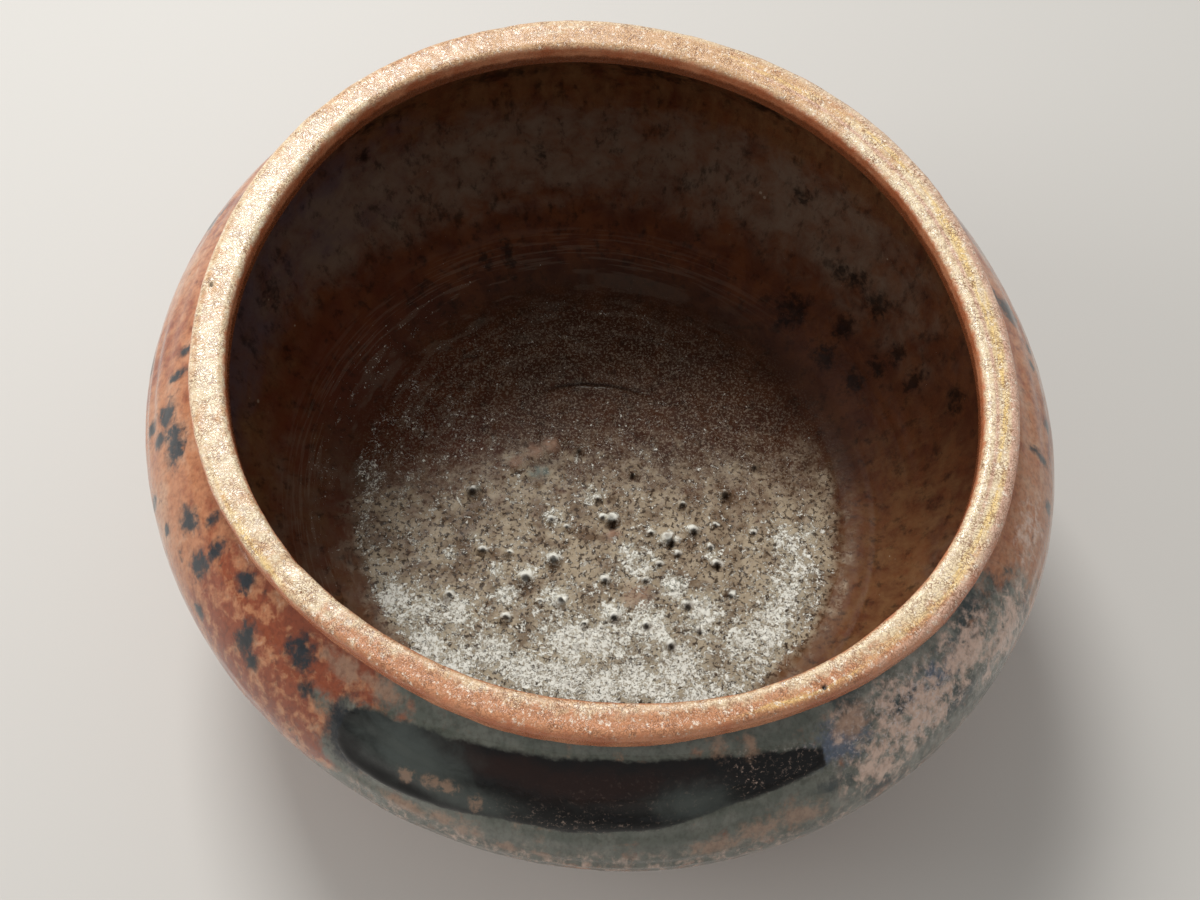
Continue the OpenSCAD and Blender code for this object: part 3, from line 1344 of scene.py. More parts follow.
def dress(piece: Piece, node: str) -> None:
    """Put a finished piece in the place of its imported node.

    Args:
        piece: The piece.
        node: The node that it stands for.
    """
    mesh = piece.data
    mesh.polygons.foreach_set("use_smooth", np.ones(len(mesh.polygons), dtype=bool))
    mesh.set_sharp_from_angle(angle=SHARP_ANGLE)
    mesh.update()
    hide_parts(node)
    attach(piece, BODY)
    LOG.info("%s stands for %s, %d faces", piece.name, node, len(mesh.polygons))


def merge_poles(piece: Piece) -> None:
    """Close the poles of a piece that reaches its axis.

    Args:
        piece: The piece.
    """
    work = bmesh.new()
    work.from_mesh(piece.data)
    bmesh.ops.remove_doubles(work, verts=work.verts, dist=MERGE_GAP)
    work.to_mesh(piece.data)
    work.free()


@dataclass
class Member:
    """Pieces of one make.

    Attributes:
        sizes: The bowl's sizes.
        wheel: What throws the shells.
        finish: How the surface looks.
    """

    sizes: BowlSizes
    wheel: Wheel
    finish: Finish


@dataclass
class ClayMembers(Member):
    """The fired clay: wall and floor, foot ring, and the roll that makes the lip.

    Attributes:
        columns: How many columns of faces go round.
        inset: How far the clay lies under the glaze that hides it.
        wall_rows: How many points lie along the outside and the inside of the wall.
        flat_rows: How many points lie along the underside and the bed of the floor.
        foot_rows: How many points lie round the foot ring.
        roll_rows: How many points lie over the roll.
    """

    finish: BareClay
    columns: int = 360
    inset: float = 0.45 * MM
    wall_rows: tuple[int, int] = (90, 60)
    flat_rows: tuple[int, int] = (14, 8)
    foot_rows: int = 40
    roll_rows: int = 30

    def build(self) -> None:
        """Build the three members and dress them."""
        material = self.finish.material()
        self._wall(material)
        self._foot(material)
        self._lip_roll(material)

    def _wall(self, material: Material) -> None:
        """Build the wall and floor.

        Args:
            material: The clay.
        """
        sizes = self.sizes
        bed = sizes.floor_z - sizes.pool - self.inset
        outside = sizes.outside(0.0).points(self.wall_rows[0])
        outside[:, 0] -= self.inset * ease(outside[:, 1], sizes.glaze_line, sizes.glaze_line + 2 * MM)
        inside = sizes.inside(sizes.glaze + self.inset, bed).points(self.wall_rows[1])
        underside = np.array([[0.0, sizes.foot_h], [BASE_RADIUS, sizes.foot_h]])
        underside = even_line(underside, self.flat_rows[0])[:-1]
        floor = even_line(np.array([[0.0, bed], [sizes.floor_r, bed]]), self.flat_rows[1])[:-1]
        skin = np.concatenate([underside, outside])
        shell = self.wheel.shell(skin, np.concatenate([floor, inside]), self.columns)
        shell.relief *= ease(shell.radius, 5 * MM, 20 * MM)
        shell.fields["ringed"] = ease(shell.height, 6 * MM, 8 * MM)
        shell.fields["along"] = shell.height
        piece = shell.mesh_object("thrown_clay_wall")
        Relief(3.5, 0.12, 9, 0.2, 1.5, 0.08).apply(piece, material)
        merge_poles(piece)
        dress(piece, "clay_body")

    def _foot(self, material: Material) -> None:
        """Build the foot ring.

        Args:
            material: The clay.
        """
        sizes = self.sizes
        soft = 1.0 * MM
        top = np.array([[sizes.foot_in, sizes.foot_h], [sizes.foot_out, sizes.foot_h]])
        skin = np.concatenate([
            top[:1],
            corner((sizes.foot_in + soft, soft), soft, 180, 270),
            corner((sizes.foot_out - soft, soft), soft, 270, 360),
            top[1:],
        ])
        shell = self.wheel.shell(even_line(skin, self.foot_rows), top, self.columns)
        shell.relief *= ease(shell.height, 0.0, 1.5 * MM)
        shell.fields["along"] = shell.height
        piece = shell.mesh_object("turned_foot_ring")
        Relief(3, 0.0, 6, 0.25, 1.2, 0.1).apply(piece, material)
        dress(piece, "foot_ring")

    def _lip_roll(self, material: Material) -> None:
        """Build the roll of clay under the lip's glaze.

        Args:
            material: The clay.
        """
        skin = self.sizes.lip(self.sizes.glaze + self.inset)
        shell = self.wheel.shell(even_line(skin, self.roll_rows), skin[[0, -1]], self.columns)
        piece = shell.mesh_object("lip_roll")
        Relief(3, 0.0, 6, 0.1, 2, 0.05).apply(piece, material)
        dress(piece, "rim_coil")


@dataclass
class Lip(Member):
    """Coat of buff glaze over the lip.

    Attributes:
        columns: How many columns of faces go round.
        rows: How many rows of faces go over the lip.
        tuck: How far the glaze runs in under the lip's outer edge.
        pits: Pinholes, each with its azimuth in degrees, its distance from the axis and its radius in
            millimetres, and its strength.
        squeeze: Scale of the grain across the lip.
        stretch: Scale of the streaks along the lip.
    """

    finish: LipGlaze
    columns: int = 1440
    rows: int = 52
    tuck: float = 1.9 * MM
    pits: tuple[Row, ...] = ((301.4, 65.4, 0.42, 1.0), (174.0, 65.2, 0.35, 0.8))
    squeeze: float = 0.85
    stretch: float = 0.08

    def build(self) -> None:
        """Build the coat and dress it."""
        sizes = self.sizes
        under = np.array([[sizes.lip_out - self.tuck, sizes.seat]])
        skin = even_line(np.concatenate([under, sizes.lip(0.0)]), self.rows)
        back = even_line(np.concatenate([under + [[0.0, 0.3 * MM]], sizes.lip(sizes.glaze)]), BACK_ROWS)
        shell = self.wheel.shell(skin, back, self.columns)
        self._glaze(shell)
        piece = shell.mesh_object("lip_glaze_coat")
        Relief(2.2, 0.03, 8, 0.45, 1.6, 0.1).apply(piece, self.finish.material())
        self._stretch_grain(piece)
        dress(piece, "rim_glaze")

    def _glaze(self, shell: Shell) -> None:
        """Lay the fields of the finish.

        Args:
            shell: The coat.
        """
        sizes = self.sizes
        fields = shell.fields
        sector = shell.sector
        across = (shell.radius - sizes.lip_in) / (sizes.lip_out - sizes.lip_in)
        drop = (sizes.lip_top - shell.height) / MM
        fields["along"] = shell.radius - sizes.lip_in
        fields["ringed"] = np.ones_like(across)
        inner = ease(across, 0.12, 0.02)
        ruddy = np.maximum(0.3, np.maximum(sector(234, 330, 22), 0.4 * sector(330, 430, 22)))
        rim = np.maximum(0.5 * ease(across, 0.88, 0.98), 0.6 * ease(across, 0.66, 1.0) * ruddy)
        fields["warm"] = 0.85 * ruddy * ease(across, 0.25, 0.85) + 0.55 * sector(234, 310, 18)
        fields["lines"] = 0.8 * sector(20, 110, 15) + 0.6 * sector(-50, 10, 15)
        fields["edge"] = np.clip(0.5 * inner + rim + 0.75 * ease(drop, 0.5, 1.8), 0.0, 1.0)
        low = ease(drop, 3.2, 4.0) * ease(across, 0.75, 0.9)
        fields["fold"] = np.clip(0.9 * inner * ease(drop, 1.4, 3.6) + 0.8 * low, 0.0, 1.0)
        # The cream field also carries painted light: a little lighter at the left and right, and much
        # darker at the back, as painted shade that offsets the key lamp's sheen there.
        cream = 0.55 + 0.08 * sector(130, 235, 25) - 0.2 * sector(250, 300, 15)
        cream += 0.2 * sector(236, 325, 15) * bell(across, 0.3, 0.18)
        fields["cream"] = cream + 0.2 * sector(-60, 50, 18) - 0.6 * sector(50, 130, 20)
        gold = sector(-45, 70, 14) * bell(across, 0.54, 0.15)
        gold += 0.7 * sector(208, 228, 8) * bell(across, 0.8, 0.14)
        fields["gold"] = np.maximum(gold, sector(292, 306, 6) * bell(across, 0.68, 0.12))
        # Painted highlights: pale lines along the inner rounding at the right and front, and along the
        # outer edge at the back and left.
        shine = (sector(-75, 25, 16) + 0.55 * sector(236, 284, 16)) * bell(across, 0.17, 0.09)
        shine += 0.8 * sector(28, 105, 14) * bell(across, 0.84, 0.1)
        fields["shine"] = shine + 0.8 * sector(130, 212, 12) * bell(across, 0.93, 0.05)
        stripe = 0.8 * sector(-30, 70, 14) * bell(across, 0.34, 0.07)
        fields["blush"] = np.maximum(stripe, sector(-50, 60, 16) * ease(across, 0.64, 0.8))
        pit = np.zeros_like(across)
        for azimuth, radius, size, strength in self.pits:
            arc = np.radians(apart(shell.turn, azimuth)) * shell.radius / MM
            reach = np.hypot(arc, shell.radius / MM - radius) / size
            pit = np.maximum(pit, strength * ease(reach, 1.3, 0.7) * ease(drop, 2.0, 1.0))
        fields["pit"] = pit
        dent = bell(apart(shell.turn, 222.0), 0.0, 1.6) * ease(drop, 2.5, 0.5)
        fields["lift"] = shell.relief * (-0.5 * pit - 0.3 * dent) * MM

    def _stretch_grain(self, piece: Piece) -> None:
        """Store where the grain is read, drawn out across the lip, and the streaks, drawn out along it.

        Args:
            piece: The coat.
        """
        mesh = piece.data
        points = np.empty(len(mesh.vertices) * 3, dtype=np.float32)
        mesh.vertices.foreach_get("co", points)
        points = points.reshape(-1, 3)
        radius = np.hypot(points[:, 0], points[:, 1])
        middle = (self.sizes.lip_in + self.sizes.lip_out) / 2
        drawn = middle + (radius - middle) * self.squeeze
        points[:, :2] *= (drawn / radius)[:, None]
        layer = mesh.attributes.new("grain", "FLOAT_VECTOR", "POINT")
        layer.data.foreach_set("vector", points.ravel())
        points[:, :2] *= (self.stretch * middle / drawn)[:, None]
        points[:, 2] = radius
        layer = mesh.attributes.new("track", "FLOAT_VECTOR", "POINT")
        layer.data.foreach_set("vector", points.ravel())


@dataclass
class OuterCoat(Member):
    """Coat of mottled glaze on the outside, and the black pour on its front.

    The spots and blotches are rows for Shell.patches.

    Attributes:
        columns: How many columns of faces go round.
        rows: How many rows of faces go up the wall.
        relief: Relief of the surface.
        seed: Seed of the spots on the far side.
        far_spots: How many spots the far side has.
        pour_grid: How many rows and columns of points the black pour has.
        pour_span: Azimuths that it lies between, in degrees.
        pour_heights: Heights that it lies between.
        pour_thick: How thick it is at its rim.
        pour_top: Azimuths along the pour, with the height in millimetres of its upper outline there.
        pour_low: Azimuths along the pour, with the height in millimetres of its lower outline there.
        pour_ends: Azimuths of its two ends, with the millimetres of depth that a degree inside them gives.
        dark_spots: Dark spots on the side that faces the front.
        tan_blotches: Tan blotches round the black pour.
        smears: Pink smears at the right of the pour.
        slates: Slate patches at the right of the pour.
    """

    finish: OuterGlaze
    columns: int = 720
    rows: int = 122
    relief: Relief = Relief(4.5, 0.12, 8, 0.25, 1.6, 0.06)
    seed: int = 5
    far_spots: int = 34
    pour_grid: tuple[int, int] = (52, 230)
    pour_span: tuple[float, float] = (234.0, 304.0)
    pour_heights: tuple[float, float] = (55.0 * MM, 73.2 * MM)
    pour_thick: float = 0.5 * MM
    pour_top: tuple[Row, ...] = (
        (238, 65), (241, 68.3), (249, 69.7), (261, 70.8), (274, 71.2), (288, 70.4), (297, 68.9),
        (299.5, 67.8))
    pour_low: tuple[Row, ...] = (
        (238, 62), (241, 58.8), (246, 57.8), (254, 59.0), (261, 60.5), (268, 60.3), (279, 61.3),
        (287, 63.6), (297, 64.8), (299.5, 65.3))
    pour_ends: tuple[Row, Row] = ((239.0, 1.25), (299.4, -1.7))
    dark_spots: tuple[Row, ...] = (
        (189.5, 66.5, 1.6, 1.9), (194.5, 67.8, 2.3, 2.0), (191.8, 64.0, 1.2, 1.4), (189.0, 61.0, 0.8, 1.6),
        (197.8, 56.3, 0.7, 1.9), (205.2, 66.6, 1.6, 1.7), (210.8, 64.6, 1.3, 2.0), (211.5, 68.8, 0.9, 1.6),
        (208.0, 70.6, 0.7, 1.0), (218.0, 70.0, 1.3, 1.2), (222.4, 63.8, 1.3, 2.6), (224.5, 61.6, 0.9, 1.5),
        (230.2, 68.9, 1.9, 1.8), (232.9, 65.3, 1.0, 1.2), (181.1, 70.0, 0.6, 1.4), (184.4, 68.7, 0.6, 1.8),
        (214.0, 58.0, 0.9, 1.5), (203.0, 60.0, 0.6, 1.2), (238.8, 63.5, 1.6, 3.8), (241.5, 59.0, 2.4, 2.0),
        (351.0, 66.0, 0.5, 2.2), (346.0, 61.0, 0.6, 1.5), (357.0, 62.0, 0.7, 1.3),
    )
    tan_blotches: tuple[Row, ...] = (
        (248.8, 62.3, 0.8, 1.1), (252.0, 62.9, 0.9, 0.9), (254.3, 63.4, 0.9, 0.8), (257.5, 62.1, 0.6, 1.2),
        (249.5, 54.8, 2.6, 1.6), (254.0, 55.6, 1.3, 1.6), (257.3, 54.6, 1.6, 1.6), (261.5, 53.0, 1.3, 1.4),
        (266.0, 52.6, 1.2, 1.2), (285.3, 55.4, 2.4, 2.0), (290.5, 57.0, 2.4, 2.0), (295.4, 57.5, 2.6, 2.2),
        (287.0, 71.5, 0.9, 1.1), (291.0, 70.7, 0.8, 1.1), (303.9, 69.3, 1.8, 1.8), (236.5, 70.8, 3.2, 1.3),
        (243.0, 71.2, 2.2, 0.9),
    )
    smears: tuple[Row, ...] = (
        (303.5, 69.5, 2.4, 1.8, 0.65), (309.5, 69.5, 2.2, 1.8, 0.7), (306.0, 60.5, 3.6, 4.2, 0.8),
        (313.0, 65.0, 4.8, 4.0, 0.95), (321.5, 67.0, 4.2, 3.4, 0.9), (328.0, 62.0, 5.0, 4.2, 0.85),
        (340.0, 66.0, 4.0, 3.0, 0.6),
    )
    slates: tuple[Row, ...] = (
        (304.5, 71.5, 2.4, 1.4, 0.8), (311.0, 68.0, 2.2, 1.6, 0.9), (325.0, 70.5, 4.0, 2.2, 0.9),
        (333.0, 69.5, 3.0, 2.2, 0.8), (318.0, 61.5, 2.6, 2.6, 0.85), (305.5, 54.0, 4.0, 3.0, 0.8),
        (300.0, 61.5, 2.0, 2.0, 0.7), (333.0, 60.0, 2.4, 3.0, 0.7), (352.0, 71.5, 2.5, 2.5, 0.8),
    )

    def build(self) -> None:
        """Build the coat and the pour, and dress them."""
        sizes = self.sizes
        curve = sizes.outside(sizes.glaze)
        back = sizes.outside(0.0).points(BACK_ROWS, sizes.glaze_line)
        shell = self.wheel.shell(curve.points(self.rows, sizes.glaze_line), back, self.columns)
        self._glaze(shell)
        piece = shell.mesh_object("outer_glaze_coat")
        self.relief.apply(piece, self.finish.material())
        dress(piece, "outer_glaze")
        self._pour(curve)

    def _pour(self, curve: WallCurve) -> None:
        """Build the black pour, which lies on the coat and thins out at its margin.

        Args:
            curve: Side view of the coat.
        """
        low, high = self.pour_heights
        rows, columns = self.pour_grid
        skin = curve.points(FINE_ROWS, low)
        skin = even_line(skin[skin[:, 1] <= high], rows)
        shell = self.wheel.shell(skin, skin - [[self.pour_thick, 0.0]], columns, 0, self.pour_span)
        self._glaze(shell)
        depth = self._pour_depth(shell)
        fields = shell.fields
        fields["pour"] = np.clip(0.5 + depth / 3.0, 0.0, 1.0)
        fields["ember"] = shell.patches((270, 68.0, 13, 2.1), (260, 68.4, 8, 1.7))
        fields["haze"] = shell.patches((249, 65.5, 6.5, 4.0), (255, 62.5, 6, 2.2, 0.9),
                                       (283, 65.0, 4.5, 2.6, 0.85))
        # Pink specks of the pour, which also carry the painted lilac highlight on its margin.
        fields["sparkle"] = shell.patches((290, 67.4, 1.9, 2.0), (296, 67.5, 2.5, 2.5, 0.5),
                                          (270, 62.4, 7.0, 1.7, 0.4), (277, 65.5, 8, 2.5, 0.12))
        fields["lift"] = np.where(shell.relief > 0, 0.16 * np.clip(depth + 0.6, -1.2, 1.2) * MM, 0.0)
        piece = shell.mesh_object("black_glaze_pour")
        self.relief.apply(piece, self.finish.pour_material())
        dress(piece, "black_pour")

    def _pour_depth(self, shell: Shell) -> Array:
        """Give how far each point lies inside the outline of the pour.

        Args:
            shell: The pour.

        Returns:
            Distances in millimetres, under 0 outside.
        """
        azimuth = 270.0 + apart(shell.turn, 270.0)
        top = np.interp(azimuth, *zip(*self.pour_top))
        low = np.interp(azimuth, *zip(*self.pour_low))
        ends = np.minimum(*((azimuth - end) * gain for end, gain in self.pour_ends))
        return np.minimum((top - low) / 2 - np.abs(shell.height / MM - (top + low) / 2), ends)

    def _far_spots(self) -> list[Row]:
        """Scatter dark spots over the part of the wall that the black pour does not face.

        Returns:
            The spots.
        """
        random = np.random.default_rng(self.seed)
        azimuths = random.uniform(5.0, 178.0, self.far_spots)
        heights = random.uniform(48.0, 71.0, self.far_spots)
        sizes = random.uniform(0.5, 1.7, self.far_spots)
        return [(at, up, size, 1.3 * size) for at, up, size in zip(azimuths, heights, sizes)]

    def _glaze(self, shell: Shell) -> None:
        """Lay the fields of the coat's finish.

        Args:
            shell: The coat or the pour.
        """
        z = shell.height / MM
        turn = shell.turn
        fields = shell.fields
        sector = shell.sector
        wander = 3.0 * np.sin(3 * turn + 0.4) + 2.2 * np.sin(7 * turn + 1.9) + 1.6 * np.sin(17 * turn)
        wander += 1.2 * np.sin(29 * turn + 0.7)
        lean = 0.25 * (62.0 - z) + 2.6 * np.sin(z / 3.1) + 1.8 * np.sin(z / 1.3 + 1.0)
        front = ease(apart(turn, 238.0) + lean, -6, 6) * ease(apart(turn, 334.0) - 0.6 * lean, 8, -8)
        front *= sector(200, 370, 10)
        fields["along"] = shell.height
        fields["ringed"] = np.ones_like(z)
        fields["spot"] = shell.patches(*self.dark_spots, *self._far_spots())
        fields["tan"] = shell.patches(*self.tan_blotches)
        fields["slate"] = shell.patches(*self.slates)
        rear = shell.patches((75, 66, 16, 9, 0.8), (120, 70, 10, 6, 0.7), (30, 60, 9, 8, 0.6))
        fields["green"] = np.maximum(front * (0.12 + 0.78 * ease(z + wander, 30, 56)), rear)
        # Share of painted sheen on the dark spots, mostly at the left.
        fields["lit"] = np.maximum(0.4 * sector(150, 220, 5), 0.25 * shell.patches((230.2, 68.9, 3, 3)))
        fields["veil"] = 0.35 + 0.65 * sector(302, 345, 5)
        red = 0.65 * sector(215, 243, 6) * ease(z, 42, 60) + 0.25 * sector(20, 170, 20)
        fields["red"] = 0.15 - 0.12 * sector(165, 208, 8) + red
        fields["blue"] = shell.patches((301.5, 67.2, 3.2, 2.4), (316, 68.0, 4, 2.0, 0.7))
        blush = 0.22 * sector(238, 340, 12) * ease(z, 62, 50)
        fields["pink"] = np.maximum(shell.patches(*self.smears), blush)
        # Where the lilac flecks of painted highlight lie.
        fields["sparkle"] = shell.patches((312, 65, 6, 5, 0.9), (304, 66, 3, 3, 0.5), (325, 63, 6, 6, 0.45))
        fields["pepper"] = 0.06 * (1.0 - front)


@dataclass
class Well(Member):
    """Dark coat on the inside wall and the pooled glaze on the floor.

    Attributes:
        columns: How many columns of faces go round.
        rows: How many rows of faces go down the wall.
        cells: How many faces lie along each side of the floor's grid.
        seed: Seed of the small blisters.
        small_blisters: How many small blisters the floor has.
        blotches: Black blotches on the wall, as rows for Shell.patches.
        blisters: Place and radius of each large blister of the floor, in millimetres.
        blooms: Place and radius of each bloom of crystals on the floor, in millimetres.
        teals: Place and radius of each greenish spot on the floor, in millimetres.
        embers: Place and radius of each pinkish spot on the floor, in millimetres.
        ridges: Places along each ridge that a tool left on the floor, in millimetres.
    """

    finish: WellGlaze
    columns: int = 720
    rows: int = 120
    cells: int = 290
    seed: int = 11
    small_blisters: int = 150
    blotches: tuple[Row, ...] = (
        (35, 30.5, 2.0, 2.4), (40, 31.5, 1.6, 1.8), (48, 18.2, 2.6, 2.2), (37, 22.5, 1.6, 2.2),
        (44, 30.0, 1.2, 1.6), (56, 39.5, 1.3, 1.8), (12, 35.0, 1.4, 2.2), (27, 22.7, 1.6, 1.4),
        (28, 18.0, 1.8, 1.4), (36, 16.5, 2.2, 1.6), (20, 28.0, 1.1, 2.6), (26, 27.5, 1.3, 1.8),
        (111, 16.5, 1.0, 2.0), (116, 17.0, 0.9, 1.6),
        (131, 48.0, 0.9, 1.8), (155, 36.0, 1.4, 3.0, 0.8), (102, 35.0, 0.8, 1.4), (84, 61.0, 6.0, 2.2, 0.8),
        (108, 60.0, 5.0, 1.8, 0.8), (66, 60.0, 5.0, 1.8, 0.8), (128, 57.0, 4.0, 1.6, 0.8),
    )
    blisters: tuple[Place, ...] = (
        (-7.9, -13.7, 1.1), (-13.3, -17.9, 1.1), (2.6, -17.1, 0.7), (3.4, -4.4, 1.2), (15.0, -8.0, 1.3),
        (19.6, -5.7, 0.9), (11.2, -6.4, 0.6), (0.5, 0.3, 0.6), (-5.6, -6.1, 0.5), (-8.8, -4.5, 0.5),
        (1.6, -3.6, 0.6), (-24.6, 0.6, 1.0), (-22.2, -12.1, 0.7), (-10.1, -22.4, 0.5), (-5.9, -22.1, 0.9),
        (-16.8, -26.4, 0.8), (4.7, -24.7, 0.8), (10.9, -25.8, 0.7), (15.7, -29.6, 0.8), (18.6, -21.2, 0.8),
        (24.1, -12.5, 0.9), (16.5, -10.6, 0.6), (13.0, -12.7, 0.5), (17.4, -0.1, 0.7), (23.9, -4.0, 0.5),
        (26.0, 2.4, 1.0), (26.8, -18.4, 0.7), (-28.3, -21.9, 0.7), (10.4, -16.4, 0.5), (22.9, -8.7, 0.5),
        (-16.9, -12.2, 0.5), (-1.0, -26.4, 0.5), (31.5, -5.2, 0.5), (32.2, 9.1, 0.6), (7.4, 6.2, 0.7),
        (-3.8, 10.9, 0.6), (21.0, -26.1, 0.6),
    )
    blooms: tuple[Place, ...] = (
        (-8.0, -12.3, 1.9), (-13.4, -16.5, 2.1), (2.6, -16.2, 1.4), (13.9, -7.3, 1.5), (19.6, -5.0, 1.3),
        (-1.1, 1.4, 2.4), (-8.1, -3.7, 2.3), (-28.6, -12.7, 1.4), (-24.1, -8.8, 1.4), (-19.3, -15.8, 1.7),
        (-17.3, -20.9, 2.4), (-7.2, -20.7, 2.6), (4.5, -23.2, 2.0), (11.5, -25.1, 3.4), (8.7, -11.7, 4.3),
        (15.9, -17.1, 2.7), (23.2, -9.5, 1.4), (38.3, -6.4, 3.4), (40.0, -11.7, 4.1), (37.8, -17.1, 4.1),
        (34.9, -21.7, 3.5), (-3.9, -30.2, 3.9), (1.6, -29.6, 3.2), (-38.6, -22.4, 3.6), (-33.5, -24.3, 3.6),
        (-27.2, -24.8, 3.6), (-31.4, -32.2, 3.5), (-18.9, -33.1, 4.0), (-24.9, -35.5, 3.5),
        (-11.8, -37.0, 4.0), (-4.9, -37.8, 4.0), (2.0, -38.5, 4.0), (8.8, -37.1, 3.4), (17.6, -32.8, 3.4),
        (21.6, -21.6, 4.0), (29.3, -27.1, 3.4), (33.5, -25.5, 3.4), (14.3, -39.5, 2.4), (21.1, -38.5, 2.4),
        (42.2, -4.7, 2.6),
    )
    teals: tuple[Place, ...] = ((-11.6, 6.5, 2.6), (4.7, -23.8, 2.0), (16, -16.5, 2.2), (-24, 1.5, 1.8))
    embers: tuple[Place, ...] = (
        (3.5, -6.8, 1.7), (-16, 8.0, 1.9), (-13, 10.4, 2.1), (-9.5, 12.4, 1.9), (8.9, -19.5, 3.0))
    ridges: tuple[tuple[Row, ...], ...] = (
        ((-18, 5), (-12, 10.5), (-5, 13.5)), ((11, -39.5), (15, -41), (17.5, -38.5)))

    def build(self) -> None:
        """Build the wall's coat and the floor, and dress them."""
        material = self.finish.material()
        self._wall(material)
        self._floor(material)

    def _wall(self, material: Material) -> None:
        """Build the coat on the wall.

        Args:
            material: The glaze.
        """
        sizes = self.sizes
        skin = sizes.inside(0.0, sizes.floor_z).points(self.rows)[::-1]
        back = sizes.inside(sizes.glaze, sizes.floor_z - sizes.pool).points(BACK_ROWS)[::-1]
        shell = self.wheel.shell(skin, back, self.columns, 1)
        self._glaze(shell)
        piece = shell.mesh_object("well_wall_glaze")
        Relief(4.4, 0.14, 7, 0.25, 1.4, 0.08).apply(piece, material)
        dress(piece, "inner_glaze")

    def _floor(self, material: Material) -> None:
        """Build the floor.

        Args:
            material: The glaze.
        """
        sizes = self.sizes
        shell = self.wheel.disc(sizes.floor_r, sizes.floor_z, sizes.pool, self.cells)
        self._glaze(shell)
        shell.relief *= ease(shell.radius, sizes.floor_r, sizes.floor_r - 1.2 * MM)
        shell.fields["lift"] = shell.relief * self._marks(shell)
        piece = shell.mesh_object("well_floor_glaze")
        sites = self._sites()
        settle(piece, blister_relief(), {"Sites": sites, "Dome": 0.75, "Hole": 0.45, "Glaze": material})
        bpy.data.objects.remove(sites)
        Relief(5.0, 0.06, 5, 0.45, 1.1, 0.25).apply(piece, material)
        dress(piece, "floor_glaze")

    def _sites(self) -> Piece:
        """Make the points where blisters stand, the large ones listed and the small ones scattered.

        Returns:
            An object with the points.
        """
        random = np.random.default_rng(self.seed)
        rows = [(x, y + 0.5 * dot, 1.7 * dot + 0.4, float(dot > 1.0)) for x, y, dot in self.blisters]
        reach = self.sizes.floor_r / MM - 2.0
        for _ in range(self.small_blisters):
            radius = reach * math.sqrt(random.random())
            angle = 2 * math.pi * random.random()
            size = 0.45 + 0.4 * random.random()
            burst = float(random.random() < 0.3)
            rows.append((radius * math.cos(angle), radius * math.sin(angle), size, burst))
        x, y, size, burst = np.array(rows).T
        mesh = bpy.data.meshes.new("blister_sites")
        height = np.full_like(x, self.sizes.floor_z)
        mesh.from_pydata(np.stack([x * MM, y * MM, height], axis=-1).tolist(), [], [])
        for name, values in (("size", size * MM), ("burst", burst)):
            layer = mesh.attributes.new(name, "FLOAT", "POINT")
            layer.data.foreach_set("value", values.astype(np.float32))
        sites = bpy.data.objects.new("blister_sites", mesh)
        bpy.context.scene.collection.objects.link(sites)
        return sites

    def _glaze(self, shell: Shell) -> None:
        """Lay the fields of the finish.

        Args:
            shell: The wall or the floor.
        """
        bottom = self.sizes.floor_z / MM
        z = shell.height / MM
        r = shell.radius / MM
        x = r * np.cos(shell.turn)
        y = r * np.sin(shell.turn)
        fields = shell.fields
        sector = shell.sector
        low = ease(z, bottom + 9.0, bottom)
        flat = ease(z, 14.0, 12.2)
        left = ease(x, -12, -34) * ease(y, -18, 10)
        fields["along"] = shell.radius * low + shell.height * (1.0 - low)
        fields["ringed"] = 0.25 + 0.75 * ease(z, 45, 25)
        # Pale pooled glaze towards the front, and the dark wall colour at the back and left: partly real
        # pooling, partly painted shade where the far wall and the left wall shade the floor.
        pool = 0.04 + 0.5 * ease(y, 24, 2) + 0.46 * ease(y, 12, -10) - 0.32 * left
        fields["pool"] = ease(z, 12.9, 12.2) * (0.3 + 0.7 * ease(r, 49.8, 46.5)) * pool
        specks = 0.16 * sector(115, 205, 25) * ease(z, 19, 13.5) * ease(z, 12.0, 12.6)
        fields["ash"] = np.maximum(self._ash(shell, x, y) * flat * ease(r, 51.5, 47.0), specks)
        fields["dust"] = 0.58 * ease(z, 20.0, 12.2) * ease(r, 55, 36) * ease(y, -8, 8)
        # Painted shade: darker where the back wall meets the floor, and high on the right wall towards the
        # back.
        deep = 0.55 * ease(z, 18.0, 12.2) * ease(y, -6, 10) * (1.0 - 0.5 * left)
        fields["deep"] = np.maximum(deep, 0.3 * sector(-12, 55, 20) * ease(z, 62, 50))
        fields["spun"] = 0.09 * np.maximum(left, sector(60, 215, 25) * ease(r, 18, 30)) * ease(z, 23, 13)
        fields["blotch"] = shell.patches(*self.blotches)
        # Painted reflection: a taupe sheen band on the back and right walls; low on the left it is painted
        # light that lifts the shaded glaze.
        taupe = 0.62 * sector(25, 155, 25) * ease(z, 18, 32) * ease(z, 54, 40)
        taupe += 0.4 * sector(-75, -10, 18) * ease(z, 50, 28) * ease(z, 16, 26)
        fields["taupe"] = taupe + 0.34 * sector(172, 238, 18) * ease(z, 40, 18)
        # Rust brown under the lip and low on the right wall; low on the left wall it is painted light that
        # lifts the shaded glaze.
        warm = 0.48 * sector(-70, 5, 25) + 0.85 * sector(170, 225, 20)
        fields["rust"] = 0.4 * ease(z, 40, 56) + warm * ease(z, 45, 18) + 0.1
        fields["maroon"] = 0.6 * sector(135, 215, 25) * ease(z, 34, 20)
        # Painted reflection: a cool violet sheen on the wall at the back left.
        fields["violet"] = 0.62 * sector(125, 190, 15) * ease(z, 24, 34) * ease(z, 60, 50)
        fields["teal"] = 0.45 * self._dots(x, y, self.teals) * low
        fields["ember"] = 0.62 * self._dots(x, y, self.embers) * low
        # Painted shadow: a dark line in the groove, and a dark mark on the front side of each blister,
        # which the lamp from the back leaves in shade; on burst blisters it also darkens the real hole.
        hole = 0.75 * bell(r, 27.5, 0.5) * sector(74, 112, 8)
